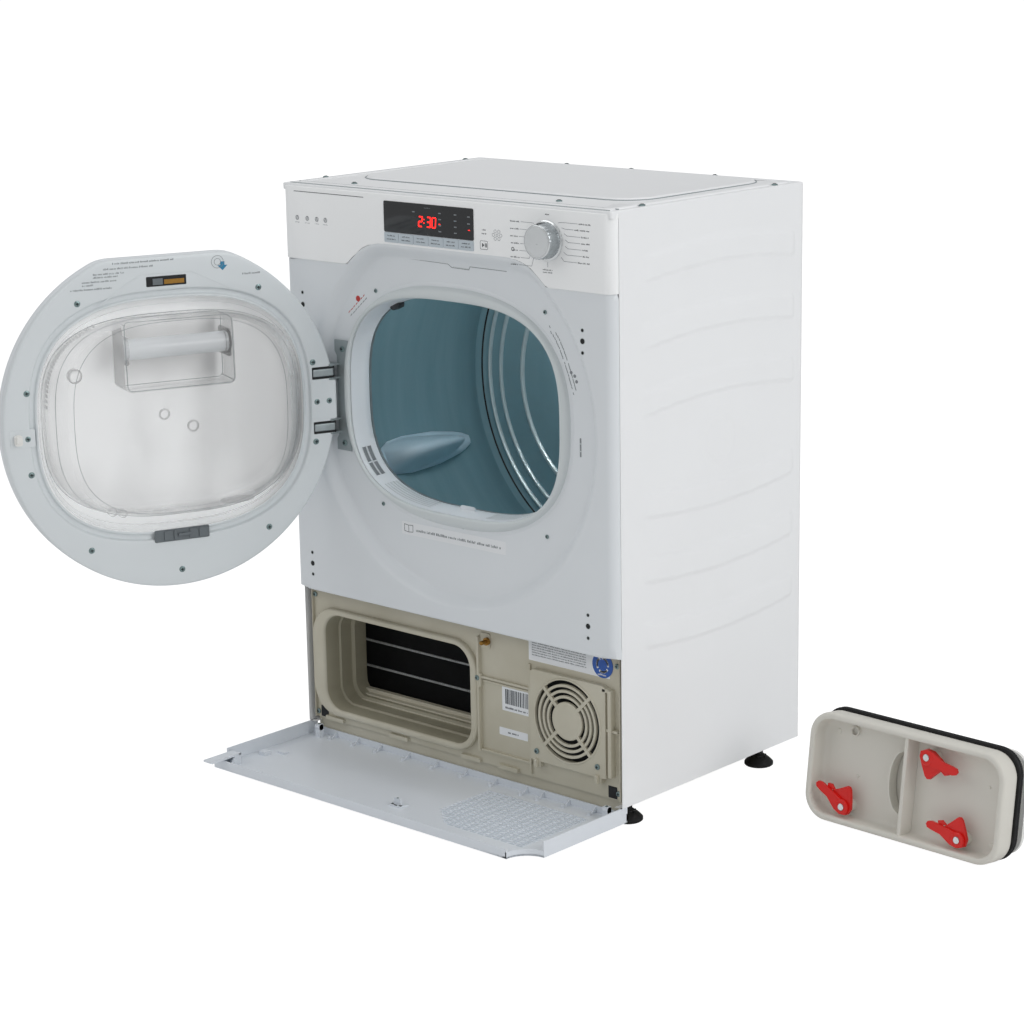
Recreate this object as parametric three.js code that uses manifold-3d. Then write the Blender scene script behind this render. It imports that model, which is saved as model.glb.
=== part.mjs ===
// A built-in clothes dryer with its door open, its kick flap down and its exchanger cover set down beside it.
// Millimetres, +Z up. The machine is drawn with X across, Y = 0 on the front face and Y growing to the back,
// Z = 0 on the floor. The finished group is shifted so that its bounding box is centred on X and Y.
import * as THREE from 'three';
import Module from 'manifold-3d';

const wasm = await Module();
wasm.setup();

// ---- driving dimensions -------------------------------------------------------------------------
const WIDTH = 596;
const HEIGHT = 820;
const DEPTH = 403;
const HALF = WIDTH / 2;
const SHEET = 2;
const GAP = 0.3;
const CORNER_Y = 25;
const FRONT_BOTTOM = 239;
const PANEL_BOTTOM = 716;
const PANEL_TOP = 817;
const SIDE_BOTTOM = 34;

const OPEN = { x: 7, z: 534, a: 193, b: 146, n: 3 };
const RECESS = { x: 9, z: 523, r: 262, top: 224, depth: 15, run: 14 };
const DRUM = { x: 0, z: 509, r: 271.5, y0: 54, y1: 372, wall: 1.6 };
const DOOR = { r: 236, top: 219, hingeX: -218, hingeY: -3, open: 112, face: 5, back: -7, front: -28 };
const HINGES = [486, 563];
const FLAP = { y: 24, z: 36, bottom: 34, top: 234, half: 295.5, rim: 22, skin: 2.5, open: 90 };
const EXCHANGER = { x0: -262, x1: 24, z0: 60, z1: 202, corner: 30 };
const FAN = { x: 202, z: 135, r: 58 };
const MOTOR = { x: 130, z: 105, r: 48, pulley: 12 };
const BELT_Y = 304;
const COVER = { x: 441, y: 215, width: 307, height: 146, depth: 30, lean: 7, yaw: -2.3 };
const FEET = [[-268, 60], [268, 60], [-268, 350], [268, 350]];
const KNOB = { x: 193.5, z: 777 };
const DISPLAY = { x0: -98, x1: 66, z0: 753, z1: 808.5, split: 767 };
const KEYS = 6;
const FILTER = { x: 7, y: 39, half: 78, top: 391, bottom: 318 };

// ---- materials ----------------------------------------------------------------------------------
function finish(color, roughness, metalness) {
  return { color, roughness, metalness };
}
const WHITE = finish('#e9ebec', 0.35, 0);
const COOL_WHITE = finish('#dde1e3', 0.35, 0);
const BEIGE = finish('#c9c5b6', 0.5, 0);
const STEEL = finish('#a7abad', 0.35, 1);
const GALVANISED = finish('#9aa0a3', 0.5, 1);
const BLACK = finish('#0d0d0f', 0.15, 0);
const RUBBER = finish('#151515', 0.8, 0);
const CLEAR = finish('#e6eef2', 0.05, 0);
const LIFTER_BLUE = finish('#a9c9de', 0.4, 0);
const DARK = finish('#2a2c2e', 0.5, 0);
const RED = finish('#d4150e', 0.35, 0);
const KEY_GREY = finish('#a8b2bb', 0.4, 0);
const SILVER = finish('#c3c6c8', 0.3, 1);
const BOARD = finish('#1f5a34', 0.6, 0);

// ---- solids -------------------------------------------------------------------------------------
function solid(geometry) {
  const g = geometry.index ? geometry.toNonIndexed() : geometry;
  const p = g.attributes.position.array;
  const seen = new Map();
  const verts = [];
  const ids = [];
  for (let i = 0; i < p.length; i += 3) {
    const near = [p[i], p[i + 1], p[i + 2]].map((v) => Math.round(v * 1e3) / 1e3);
    const key = near.join();
    if (!seen.has(key)) {
      seen.set(key, verts.length / 3);
      verts.push(...near);
    }
    ids.push(seen.get(key));
  }
  const tris = [];
  let volume = 0;
  const at = (k) => new THREE.Vector3(verts[3 * k], verts[3 * k + 1], verts[3 * k + 2]);
  for (let i = 0; i < ids.length; i += 3) {
    const [a, b, c] = [ids[i], ids[i + 1], ids[i + 2]];
    if (a === b || b === c || a === c) continue;
    tris.push(a, b, c);
    volume += at(a).dot(at(b).cross(at(c)));
  }
  if (volume < 0) {
    for (let i = 0; i < tris.length; i += 3) {
      [tris[i], tris[i + 1]] = [tris[i + 1], tris[i]];
    }
  }
  return new wasm.Manifold(new wasm.Mesh({
    numProp: 3, vertProperties: Float32Array.from(verts), triVerts: Uint32Array.from(tris),
  }));
}

function toGeometry(body) {
  const mesh = body.getMesh();
  const out = [];
  for (const t of mesh.triVerts) {
    out.push(...mesh.vertProperties.slice(t * mesh.numProp, t * mesh.numProp + 3));
  }
  const g = new THREE.BufferGeometry();
  g.setAttribute('position', new THREE.Float32BufferAttribute(out, 3));
  g.computeVertexNormals();
  return g;
}

function box(x0, x1, y0, y1, z0, z1) {
  const g = new THREE.BoxGeometry(x1 - x0, y1 - y0, z1 - z0);
  return solid(g.translate((x0 + x1) / 2, (y0 + y1) / 2, (z0 + z1) / 2));
}

// A flat outline in X and Z, given depth from y0 to y1.
function prism(points, y0, y1) {
  const g = new THREE.ExtrudeGeometry(new THREE.Shape(points), { depth: y1 - y0, bevelEnabled: false });
  return solid(g.rotateX(Math.PI / 2).translate(0, y1, 0));
}

// A closed profile of [radius, depth] pairs turned about a line along Y.
function turnY(profile, x, z, segments = 40) {
  const pts = [...profile, profile[0]].map(([r, y]) => new THREE.Vector2(r, y));
  return solid(new THREE.LatheGeometry(pts, segments).translate(x, 0, z));
}

// A closed profile of [radius, height] pairs turned about a vertical line.
function turnZ(profile, x, y, segments = 32) {
  const pts = [...profile, profile[0]].map(([r, z]) => new THREE.Vector2(r, z));
  return solid(new THREE.LatheGeometry(pts, segments).rotateX(Math.PI / 2).translate(x, y, 0));
}

function discY(x, z, r, y0, y1, segments = 32) {
  return turnY([[0, y0], [r, y0], [r, y1], [0, y1]], x, z, segments);
}

function discZ(x, y, r, z0, z1, segments = 24) {
  return turnZ([[0, z0], [r, z0], [r, z1], [0, z1]], x, y, segments);
}

// A skin over rings of equal length, each [y, outline], closed at both ends.
function loft(rings) {
  const out = [];
  const place = ([y, pts]) => pts.map((p) => [p.x, y, p.y]);
  const all = rings.map(place);
  const n = all[0].length;
  const mid = (ring) => ring.reduce((s, p) => [s[0] + p[0] / n, s[1] + p[1] / n, s[2] + p[2] / n], [0, 0, 0]);
  for (let k = 0; k + 1 < all.length; k += 1) {
    for (let i = 0; i < n; i += 1) {
      const j = (i + 1) % n;
      out.push(all[k][i], all[k][j], all[k + 1][j], all[k][i], all[k + 1][j], all[k + 1][i]);
    }
  }
  const first = mid(all[0]);
  const last = mid(all[all.length - 1]);
  for (let i = 0; i < n; i += 1) {
    const j = (i + 1) % n;
    out.push(first, all[0][j], all[0][i], last, all[all.length - 1][i], all[all.length - 1][j]);
  }
  const g = new THREE.BufferGeometry();
  g.setAttribute('position', new THREE.Float32BufferAttribute(out.flat(), 3));
  return solid(g);
}

// ---- outlines -----------------------------------------------------------------------------------
function squircle(a, b, n = 2.7, x = OPEN.x, z = OPEN.z, count = 44) {
  return Array.from({ length: count }, (_, i) => {
    const t = (i / count) * Math.PI * 2;
    const c = Math.cos(t);
    const s = Math.sin(t);
    return new THREE.Vector2(
      x + a * Math.sign(c) * Math.abs(c) ** (2 / n),
      z + b * Math.sign(s) * Math.abs(s) ** (2 / n),
    );
  });
}

// A circle whose top is cut off level.
function flatTopped(r, top, x = RECESS.x, z = RECESS.z, count = 56) {
  return Array.from({ length: count }, (_, i) => {
    const t = (i / count) * Math.PI * 2;
    return new THREE.Vector2(x + r * Math.cos(t), z + Math.min(r * Math.sin(t), top));
  });
}

function roundRect(x0, x1, z0, z1, r, steps = 4) {
  const pts = [];
  const corners = [[x1 - r, z0 + r, -90], [x1 - r, z1 - r, 0], [x0 + r, z1 - r, 90], [x0 + r, z0 + r, 180]];
  for (const [cx, cz, start] of corners) {
    for (let i = 0; i <= steps; i += 1) {
      const t = ((start + (90 * i) / steps) * Math.PI) / 180;
      pts.push(new THREE.Vector2(cx + r * Math.cos(t), cz + r * Math.sin(t)));
    }
  }
  return pts;
}

// ---- cabinet ------------------------------------------------------------------------------------
function baseTray() {
  const outer = box(-290, 290, 30, 398, SIDE_BOTTOM, 54);
  return outer.subtract(box(-287, 287, 33, 395, SIDE_BOTTOM + 3, 70));
}

function foot([x, y]) {
  const cup = turnZ([[0, 0], [20, 0], [20, 5], [15, 12], [7, 14], [7, SIDE_BOTTOM - GAP], [0, SIDE_BOTTOM - GAP]], x, y, 20);
  return cup;
}

function sidePanel(side) {
  const x0 = side < 0 ? -HALF : HALF - SHEET;
  const wall = box(x0, x0 + SHEET, CORNER_Y, DEPTH, SIDE_BOTTOM, HEIGHT - SHEET - GAP);
  const inner = side < 0 ? [-HALF, -HALF + 5.5] : [HALF - 5.5, HALF];
  const backTurn = box(inner[0], inner[1], DEPTH - SHEET, DEPTH, SIDE_BOTTOM, HEIGHT - SHEET - GAP);
  return wall.add(backTurn);
}

function topPlate() {
  const lid = box(-HALF, HALF, 0, DEPTH, HEIGHT - SHEET, HEIGHT);
  return lid.add(box(-290, 290, 5, 7, HEIGHT - 12, HEIGHT - SHEET)).add(box(-290, 290, DEPTH - 6, DEPTH - 4, HEIGHT - 12, HEIGHT - SHEET));
}

function frontPanel() {
  const edge = flatTopped(RECESS.r, RECESS.top);
  const rings = (grow, y0, y1) => [
    [y0, flatTopped(RECESS.r + grow, RECESS.top + grow)],
    [y1, flatTopped(RECESS.r - RECESS.run + grow, RECESS.top - 4 + grow)],
  ];
  const hole = prism(flatTopped(RECESS.r + 1, RECESS.top + 1), -1, 3);
  const plate = box(-HALF, HALF, 0, SHEET, FRONT_BOTTOM, PANEL_BOTTOM - GAP).subtract(hole);
  const dish = loft(rings(2, 0, RECESS.depth + SHEET)).subtract(
    loft([[-1, edge], [0, edge], rings(0, 0, RECESS.depth)[1]]),
  );
  const sides = box(-HALF, -HALF + SHEET, 0, CORNER_Y - GAP, FRONT_BOTTOM, PANEL_BOTTOM - GAP)
    .add(box(HALF - SHEET, HALF, 0, CORNER_Y - GAP, FRONT_BOTTOM, PANEL_BOTTOM - GAP))
    .add(box(-HALF, HALF, 0, 12, FRONT_BOTTOM, FRONT_BOTTOM + SHEET));
  let panel = plate.add(dish).add(sides);
  panel = panel.subtract(prism(squircle(OPEN.a + 19, OPEN.b + 24, 2.4), 5, 30));
  return panel.subtract(box(226, 234, 5, 30, 492, 540));
}

function controlPanel() {
  const y0 = -2;
  const face = box(-HALF, HALF, y0, 3, PANEL_BOTTOM, PANEL_TOP)
    .add(box(-HALF, -HALF + 3, y0, CORNER_Y - GAP, PANEL_BOTTOM, PANEL_TOP))
    .add(box(HALF - 3, HALF, y0, CORNER_Y - GAP, PANEL_BOTTOM, PANEL_TOP))
    .intersect(prism(roundRect(-HALF, HALF, PANEL_BOTTOM, PANEL_TOP, 0.5, 1), -5, 30));
  return face
    .subtract(prism(flatTopped(RECESS.r + 2.4, RECESS.top + 2.4), -5, 30))
    .subtract(box(DISPLAY.x0 - GAP, DISPLAY.x1 + GAP, -5, 10, DISPLAY.z0 - GAP, DISPLAY.z1 + GAP))
    .subtract(box(76.7, 92.3, -5, 10, 755.7, 769.3))
    .subtract(discY(KNOB.x, KNOB.z, 5.4, -5, 10, 20))
    .subtract(box(-400, 400, -5, 30, PANEL_TOP - GAP, 900));
}

function kickFrame() {
  const hole = roundRect(EXCHANGER.x0, EXCHANGER.x1, EXCHANGER.z0, EXCHANGER.z1, EXCHANGER.corner);
  const sleeve = roundRect(EXCHANGER.x0 - 3, EXCHANGER.x1 + 3, EXCHANGER.z0 - 3, EXCHANGER.z1 + 3, EXCHANGER.corner + 3);
  const lip = roundRect(-287, 36, 50, 211, 44);
  return box(-290, 290, 23, 27, 40, 236)
    .add(box(-290, -287, 23, 29.7, 40, 236))
    .add(box(287, 290, 23, 29.7, 40, 236))
    .add(prism(lip, 15, 24))
    .add(prism(sleeve, 24, 60))
    .subtract(prism(hole, 0, 80))
    .subtract(discY(FAN.x, FAN.z, FAN.r + 2, 0, 60, 28))
    .subtract(box(-281, -266, 20, 30, 41.5, 58))
    .subtract(box(266, 281, 20, 30, 41.5, 58));
}

function fanGrille() {
  const plate = box(137, 268, 15, 18, 68, 196)
    .add(box(137, 140, 15, 22.7, 68, 196))
    .add(box(265, 268, 15, 22.7, 68, 196));
  let slots = null;
  for (const r of [28, 36, 44, 52]) {
    const ring = discY(FAN.x, FAN.z, r + 3, 10, 20, 28).subtract(discY(FAN.x, FAN.z, r - 1.5, 9, 21, 28));
    slots = slots ? slots.add(ring) : ring;
  }
  for (const angle of [45, 135]) {
    const bar = new THREE.BoxGeometry(140, 20, 5).rotateY((angle * Math.PI) / 180).translate(FAN.x, 15, FAN.z);
    slots = slots.subtract(solid(bar));
  }
  return plate.subtract(slots);
}

function rearPanel() {
  return box(-292, 292, DEPTH - SHEET, DEPTH, SIDE_BOTTOM, HEIGHT - SHEET - GAP)
    .subtract(discY(0, DRUM.z, 150, 380, 420, 32))
    .subtract(discY(MOTOR.x, MOTOR.z, 14, 380, 420, 16));
}

function rearDuct() {
  const y0 = DEPTH + GAP;
  const outer = loft([[y0, roundRect(-230, 230, 46, 740, 60)], [y0 + 44, roundRect(-215, 215, 61, 725, 50)]]);
  const inner = loft([[y0 - 1, roundRect(-227, 227, 49, 737, 57)], [y0 + 41.5, roundRect(-212, 212, 64, 722, 47)]]);
  return outer.subtract(inner);
}

// ---- drum and air path --------------------------------------------------------------------------
function openingTrim() {
  const outer = loft([
    [6.5, squircle(OPEN.a + 2.4, OPEN.b + 2.4, OPEN.n)],
    [14.7, squircle(OPEN.a + 18, OPEN.b + 23, 2.4)],
    [17, squircle(OPEN.a + 18, OPEN.b + 23, 2.4)],
    [17.2, squircle(OPEN.a + 3, OPEN.b + 3, OPEN.n)],
    [45.7, squircle(OPEN.a, OPEN.b, OPEN.n)],
  ]);
  const bore = loft([[5, squircle(OPEN.a, OPEN.b, OPEN.n)], [47, squircle(OPEN.a - 3, OPEN.b - 3, OPEN.n)]]);
  const slot = box(FILTER.x - FILTER.half - 1.2, FILTER.x + FILTER.half + 1.2, FILTER.y - 2.7, FILTER.y + 2.7, 300, 420);
  return outer.subtract(bore).subtract(slot);
}

function frontBulkhead() {
  return box(-285, 285, 46, 49, 245, 785)
    .subtract(prism(squircle(OPEN.a - 2.6, OPEN.b - 2.6, OPEN.n), 40, 60));
}

function drumSeal() {
  return turnY([[256, 49.3], [274, 49.3], [274, 52], [268, 53.6], [256, 53.6]], DRUM.x, DRUM.z, 56);
}

function rearBulkhead() {
  return box(-285, 285, 384, 387, 225, 785)
    .add(discY(DRUM.x, DRUM.z, 22, 378, 384.5, 24))
    .subtract(discY(DRUM.x, DRUM.z, 9.4, 370, 395, 24));
}

function drumShell() {
  const { r, y0, y1, wall } = DRUM;
  return turnY([
    [r, y0], [r, y1], [9, y1], [9, y1 + 20], [0, y1 + 20], [0, y1 - wall], [30, y1 - wall],
    [r - wall, y1 - wall], [r - wall, y0 + wall], [r - 9, y0 + wall], [r - 9, y0],
  ], DRUM.x, DRUM.z, 64);
}

function lifter(angle) {
  const seat = DRUM.r - DRUM.wall - GAP;
  const width = 44;
  const foot = Math.sqrt(seat ** 2 - width ** 2);
  const lower = [[-width, foot - 1], [width, foot - 1], [20, 214], [9, 204], [-9, 204], [-20, 214]];
  const upper = [[-30, foot - 1], [30, foot - 1], [14, 226], [7, 218], [-7, 218], [-14, 226]];
  const turn = (pts) => pts.map(([s, d]) => {
    const t = (angle * Math.PI) / 180;
    return new THREE.Vector2(
      DRUM.x + d * Math.cos(t) - s * Math.sin(t),
      DRUM.z + d * Math.sin(t) + s * Math.cos(t),
    );
  });
  return loft([[138, turn(upper)], [170, turn(lower)], [286, turn(lower)], [306, turn(upper)]]);
}

// The belt's path: the tight outline around the drum and the motor pulley.
function beltPath(grow) {
  const circles = [[DRUM.x, DRUM.z, DRUM.r + GAP + grow], [MOTOR.x, MOTOR.z, MOTOR.pulley + GAP + grow]];
  const dx = circles[1][0] - circles[0][0];
  const dz = circles[1][1] - circles[0][1];
  const far = Math.hypot(dx, dz);
  const base = Math.atan2(dz, dx);
  const split = Math.acos((circles[0][2] - circles[1][2]) / far);
  const pts = [];
  const arc = ([cx, cz, r], from, to, steps) => {
    for (let i = 0; i <= steps; i += 1) {
      const t = from + ((to - from) * i) / steps;
      const k = steps > 20 ? r / Math.cos((to - from) / steps / 2) : r / Math.cos((to - from) / steps / 2);
      pts.push(new THREE.Vector2(cx + k * Math.cos(t), cz + k * Math.sin(t)));
    }
  };
  arc(circles[0], base + split, base - split + Math.PI * 2, 48);
  arc(circles[1], base - split, base + split, 8);
  return pts;
}

function driveBelt() {
  return prism(beltPath(1.8), BELT_Y - 6, BELT_Y + 6).subtract(prism(beltPath(0), BELT_Y - 10, BELT_Y + 10));
}

function driveMotor() {
  return discY(MOTOR.x, MOTOR.z, MOTOR.r, 318, 392, 24)
    .add(box(MOTOR.x - 40, MOTOR.x + 40, 325, 385, SIDE_BOTTOM + 3 + GAP, MOTOR.z - 30))
    .subtract(discY(MOTOR.x, MOTOR.z, 6, 300, 400, 16));
}

function motorPulley() {
  const { x, z, pulley } = MOTOR;
  return turnY([[0, 296], [pulley, 296], [pulley, 312], [5.4, 312], [5.4, 392], [0, 392]], x, z, 20);
}

function blowerWheel() {
  const { x, z } = MOTOR;
  let wheel = turnY([[0, 394], [5, 394], [5, 408], [42, 408], [42, 410.5], [14, 410.5], [14, 424], [0, 424]], x, z, 24);
  for (let i = 0; i < 8; i += 1) {
    const blade = new THREE.BoxGeometry(14, 18, 2).translate(33, 418, 0).rotateY((i * Math.PI) / 4).translate(x, 0, z);
    wheel = wheel.add(solid(blade));
  }
  return wheel;
}

function exchangerDuct() {
  return box(-270, 32, 62, 285, 47, 212).subtract(box(-267, 29, 60, 300, 50, 209));
}

function finBlock(y0, y1, fins) {
  const { x0, x1, z0, z1 } = EXCHANGER;
  let block = box(x0, x1, y0, y1, z0 - 8, z1 + 4);
  const step = (x1 - x0) / fins;
  for (let i = 0; i < fins; i += 1) {
    const x = x0 + (i + 0.5) * step;
    block = block.subtract(box(x - step / 4, x + step / 4, y0 - 1, y0 + 12, z0 - 2, z1 - 2));
  }
  return block;
}

function compressor() {
  const { x } = FAN;
  return turnZ([
    [0, 44], [48, 44], [60, 54], [62, 80], [62, 165], [54, 188], [30, 200], [0, 204],
  ], x + 13, 172, 24).add(box(x - 47, x + 73, 132, 212, SIDE_BOTTOM + 3 + GAP, 50));
}

function fanBracket() {
  let body = turnY([[60.5, 30], [63.5, 30], [63.5, 70], [60.5, 70]], FAN.x, FAN.z, 28)
    .add(discY(FAN.x, FAN.z, 22, 62, 92, 20));
  for (const angle of [30, 150, 270]) {
    const arm = new THREE.BoxGeometry(44, 5, 8).translate(41, 66, 0);
    body = body.add(solid(arm.rotateY((angle * Math.PI) / 180).translate(FAN.x, 0, FAN.z)));
  }
  return body.subtract(discY(FAN.x, FAN.z, 3.4, 50, 80, 12));
}

function coolingFan() {
  let fan = discY(FAN.x, FAN.z, 18, 38, 56, 20).add(discY(FAN.x, FAN.z, 3, 50, 78, 12));
  for (let i = 0; i < 5; i += 1) {
    const blade = new THREE.BoxGeometry(40, 2.4, 24).rotateX(0.5).translate(35, 47, 0);
    fan = fan.add(solid(blade.rotateY((i * Math.PI * 2) / 5).translate(FAN.x, 0, FAN.z)));
  }
  return fan;
}

// ---- controls -----------------------------------------------------------------------------------
function keyCap(i) {
  const pitch = (DISPLAY.x1 - DISPLAY.x0) / KEYS;
  const x = DISPLAY.x0 + i * pitch;
  return box(x + 0.3, x + pitch - 0.3, -3, 5, DISPLAY.z0, DISPLAY.split - 0.6);
}

function knob() {
  return turnY([
    [0, -24], [20, -24], [22.4, -22], [23.5, -6], [26, -5.4], [26, -2.4],
    [5, -2.4], [5, 8], [0, 8],
  ], KNOB.x, KNOB.z, 36);
}

// ---- door ---------------------------------------------------------------------------------------
function hingePlate() {
  const { hingeX, hingeY } = DOOR;
  let plate = box(-213, -190, 12, 14.7, 452, 603);
  plate = plate.subtract(prism(squircle(OPEN.a + 19, OPEN.b + 24, 2.4), 5, 30));
  for (const z of HINGES) {
    for (const side of [-1, 1]) {
      const z0 = z + side * 10 - 2.5;
      plate = plate.add(box(hingeX - 6, -206, hingeY - 5, 13, z0, z0 + 5));
    }
    plate = plate.add(discZ(hingeX, hingeY, 3, z - 12, z + 12, 16));
  }
  return plate;
}

function hingeArms() {
  const { hingeX, hingeY } = DOOR;
  let arms = box(-200, -194.6, -6, -3.5, 470, 580);
  for (const z of HINGES) {
    arms = arms.add(box(hingeX, -194.6, -6, -1, z - 6.5, z + 6.5))
      .add(discZ(hingeX, hingeY, 6.5, z - 6.5, z + 6.5, 20));
    arms = arms.subtract(discZ(hingeX, hingeY, 3.3, z - 15, z + 15, 16));
  }
  return arms;
}

function doorOuter() {
  const shape = (r, drop) => flatTopped(r, DOOR.top - drop, RECESS.x, RECESS.z);
  const outer = loft([
    [DOOR.back - GAP, shape(DOOR.r, 0)], [-22, shape(DOOR.r, 0)], [-26, shape(DOOR.r - 4, 4)], [DOOR.front, shape(DOOR.r - 12, 12)],
  ]);
  const inner = loft([[0, shape(DOOR.r - 2.5, 2.5)], [-22, shape(DOOR.r - 2.5, 2.5)], [-25.5, shape(DOOR.r - 13, 13)]]);
  let shell = outer.subtract(inner);
  for (const z of HINGES) shell = shell.subtract(box(-240, -200, -14, 0, z - 13.5, z + 13.5));
  return shell;
}

function doorRing() {
  const shape = flatTopped(DOOR.r - 0.6, DOOR.top - 0.6, RECESS.x, RECESS.z);
  let ring = prism(shape, DOOR.back, DOOR.face).subtract(prism(squircle(196, 168, 2.7, OPEN.x, 526), -20, 20));
  ring = ring.subtract(prism(flatTopped(DOOR.r - 4, DOOR.top - 4, RECESS.x, RECESS.z), -8, 1.5).subtract(
    prism(squircle(199, 171, 2.7, OPEN.x, 526), -20, 20),
  ));
  for (const z of HINGES) {
    ring = ring.subtract(box(-240, -195.5, -20, 20, z - 13.5, z + 13.5));
  }
  return ring.subtract(box(-12, 42, -20, 20, 703, 715));
}

function doorLiner() {
  const flange = prism(squircle(195.6, 167.6, 2.7, OPEN.x, 526), 1, 4);
  const collar = prism(squircle(188.5, 143), -6, 4);
  return flange.add(collar).subtract(prism(squircle(186, 140.6), -20, 20));
}

function waterTank() {
  const outer = loft([
    [-24.5, squircle(170, 126)], [-20, squircle(182, 137)], [3, squircle(185, 140)], [12, squircle(178, 139.5)], [31, squircle(156, 137)],
  ]);
  const inner = loft([
    [-22, squircle(168, 124)], [-18, squircle(179.5, 134.5)], [2, squircle(182.5, 137.5)], [11, squircle(175.5, 137)], [28.8, squircle(153.5, 134.5)],
  ]);
  const pocket = [box(-70, 84, -12, 40, 568, 668), box(-68, 82, -10, 45, 570, 666)];
  return outer.subtract(inner).add(pocket[0].intersect(outer)).subtract(pocket[1])
    .subtract(discY(-120, 600, 9, 20, 40, 16));
}

function tankHandle() {
  const bar = new THREE.CylinderGeometry(14, 14, 141, 20).rotateZ(Math.PI / 2).translate(7, 12, 622);
  return solid(bar)
    .add(box(-67.5, -63, -6, 24, 606, 638))
    .add(box(77, 81.5, -6, 24, 606, 638));
}

function tankLatch() {
  return box(-20, 34, 5.4, 8.4, 352, 369).add(box(-17, 31, 5.4, 10, 360, 363));
}

function doorLock() {
  return box(212, 250, 17.5, 44, 485, 547).subtract(box(225, 235, 10, 34, 491, 541));
}

// ---- kick flap ----------------------------------------------------------------------------------
function kickFlap() {
  const { half, bottom, top, rim, skin } = FLAP;
  let flap = box(-half, half, 0, skin, bottom, top)
    .add(box(-half, -half + 2, 0, rim, bottom, top - 22))
    .add(box(half - 2, half, 0, rim, bottom, top - 34))
    .add(box(-half, half, 0, 12, bottom, bottom + 2))
    .add(box(-half, half - 34, 0, 14, top - 2, top))
    .add(box(-half + 6, -half + 22, 18, 21, top - 30, top + 24))
    .add(box(-half + 6, -half + 22, 0, 21, top - 30, top - 27))
    .add(box(15, 26, 0, 13, 184, 187));
  for (let i = 0; i < 9; i += 1) {
    const x = -250 + i * 60;
    const rib = prism([new THREE.Vector2(0, 0), new THREE.Vector2(12, 0), new THREE.Vector2(0, 9)], 0, 1.6);
    flap = flap.add(rib.rotate([90, 0, 90]).translate([x, skin - 0.1, bottom + 1.9]));
  }
  flap = flap.subtract(solid(new THREE.CylinderGeometry(34, 34, 60, 24).translate(half, 0, top)));
  for (const x of [-273.5, 273.5]) {
    flap = flap.add(box(x - 4, x + 4, 0, FLAP.y + 3, FLAP.z + 8, FLAP.z + 14));
  }
  return flap;
}

// ---- exchanger cover, drawn upright with its lower front edge on X = 0, Y = 0, Z = 0 ---------------
function coverPlate() {
  const { width, height, depth } = COVER;
  const shell = prism(roundRect(0, width, 0, height, 34, 5), 0, depth)
    .subtract(prism(roundRect(9, width - 9, 9, height - 9, 26, 5), -5, depth - 4));
  let body = shell.add(box(width / 2 - 4, width / 2 + 4, 4, depth - 3, 5, height - 5));
  for (const [x, z] of leverPivots()) {
    body = body.add(discY(x, z, 5.5, 11, depth - 3, 16));
  }
  return body;
}

function leverPivots() {
  return [[60, 24], [186, 119], [243, 24]];
}

function coverSeal() {
  const { width, height, depth } = COVER;
  return prism(roundRect(1, width + 3, 2, height + 4, 35, 5), depth + GAP, depth + 9)
    .subtract(prism(roundRect(12, width - 8, 13, height - 7, 28, 5), depth - 5, depth + 20));
}

function coverFrame() {
  const { width, height, depth } = COVER;
  const y0 = depth + GAP;
  return prism(roundRect(13, width - 9, 14, height - 8, 27, 5), y0, y0 + 8)
    .add(prism(roundRect(16, width - 12, 17, height - 11, 24, 5), y0 + 7, y0 + 30))
    .add(prism(roundRect(9, width - 4, 4.6, height - 4, 30, 5), y0 + 29, y0 + 36))
    .subtract(prism(roundRect(28, width - 24, 29, height - 23, 14, 3), y0 + 10, y0 + 60));
}

function lever([x, z], angle) {
  const outline = [
    [10, -8], [13, 2], [4, 24], [-4, 27], [-22, 12], [-34, 16], [-47, 14], [-47, 6], [-36, 4], [-10, -9], [0, -11],
  ];
  const t = (angle * Math.PI) / 180;
  const pts = outline.map(([a, b]) => new THREE.Vector2(
    x + a * Math.cos(t) - b * Math.sin(t),
    z + a * Math.sin(t) + b * Math.cos(t),
  ));
  return prism(pts, 3.5, 10.7).subtract(discY(x, z, 2, 0, 20, 12));
}

// ---- filter and small parts ---------------------------------------------------------------------
function lintFilter() {
  const { x, y, half, top, bottom } = FILTER;
  return box(x - half, x + half, y - 2, y + 2, bottom, top - 4)
    .subtract(box(x - half + 8, x - 3, y - 5, y + 5, bottom + 8, top - 14))
    .subtract(box(x + 3, x + half - 8, y - 5, y + 5, bottom + 8, top - 14))
    .add(box(x - 14, x + 14, y - 2, y + 1, top - 6, top + 5));
}

// ---- assembly -----------------------------------------------------------------------------------
const part = new THREE.Group();
const machine = new THREE.Group();
part.add(machine);

function put(name, look, body, parent = machine, offset = null) {
  const material = new THREE.MeshStandardMaterial(look);
  const mesh = new THREE.Mesh(toGeometry(body), material);
  mesh.name = name;
  if (offset) mesh.position.set(...offset);
  parent.add(mesh);
  return mesh;
}

// Turned group whose contents are drawn in machine coordinates, swung about a line through (x, y, z).
function swung(x, y, z, rx, rz) {
  const pivot = new THREE.Group();
  pivot.position.set(x, y, z);
  pivot.rotation.set((rx * Math.PI) / 180, 0, (rz * Math.PI) / 180);
  const inner = new THREE.Group();
  inner.position.set(-x, -y, -z);
  pivot.add(inner);
  machine.add(pivot);
  return inner;
}

put('base_tray', BEIGE, baseTray());
['foot_front_left', 'foot_front_right', 'foot_rear_left', 'foot_rear_right'].forEach((name, i) => {
  put(name, RUBBER, foot(FEET[i]));
});
put('side_panel_left', WHITE, sidePanel(-1));
put('side_panel_right', WHITE, sidePanel(1));
put('top_plate', WHITE, topPlate());
put('front_panel', COOL_WHITE, frontPanel());
put('control_panel', COOL_WHITE, controlPanel());
put('kick_frame', BEIGE, kickFrame());
put('fan_grille', BEIGE, fanGrille());
put('rear_panel', GALVANISED, rearPanel());
put('rear_duct', GALVANISED, rearDuct());

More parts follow.
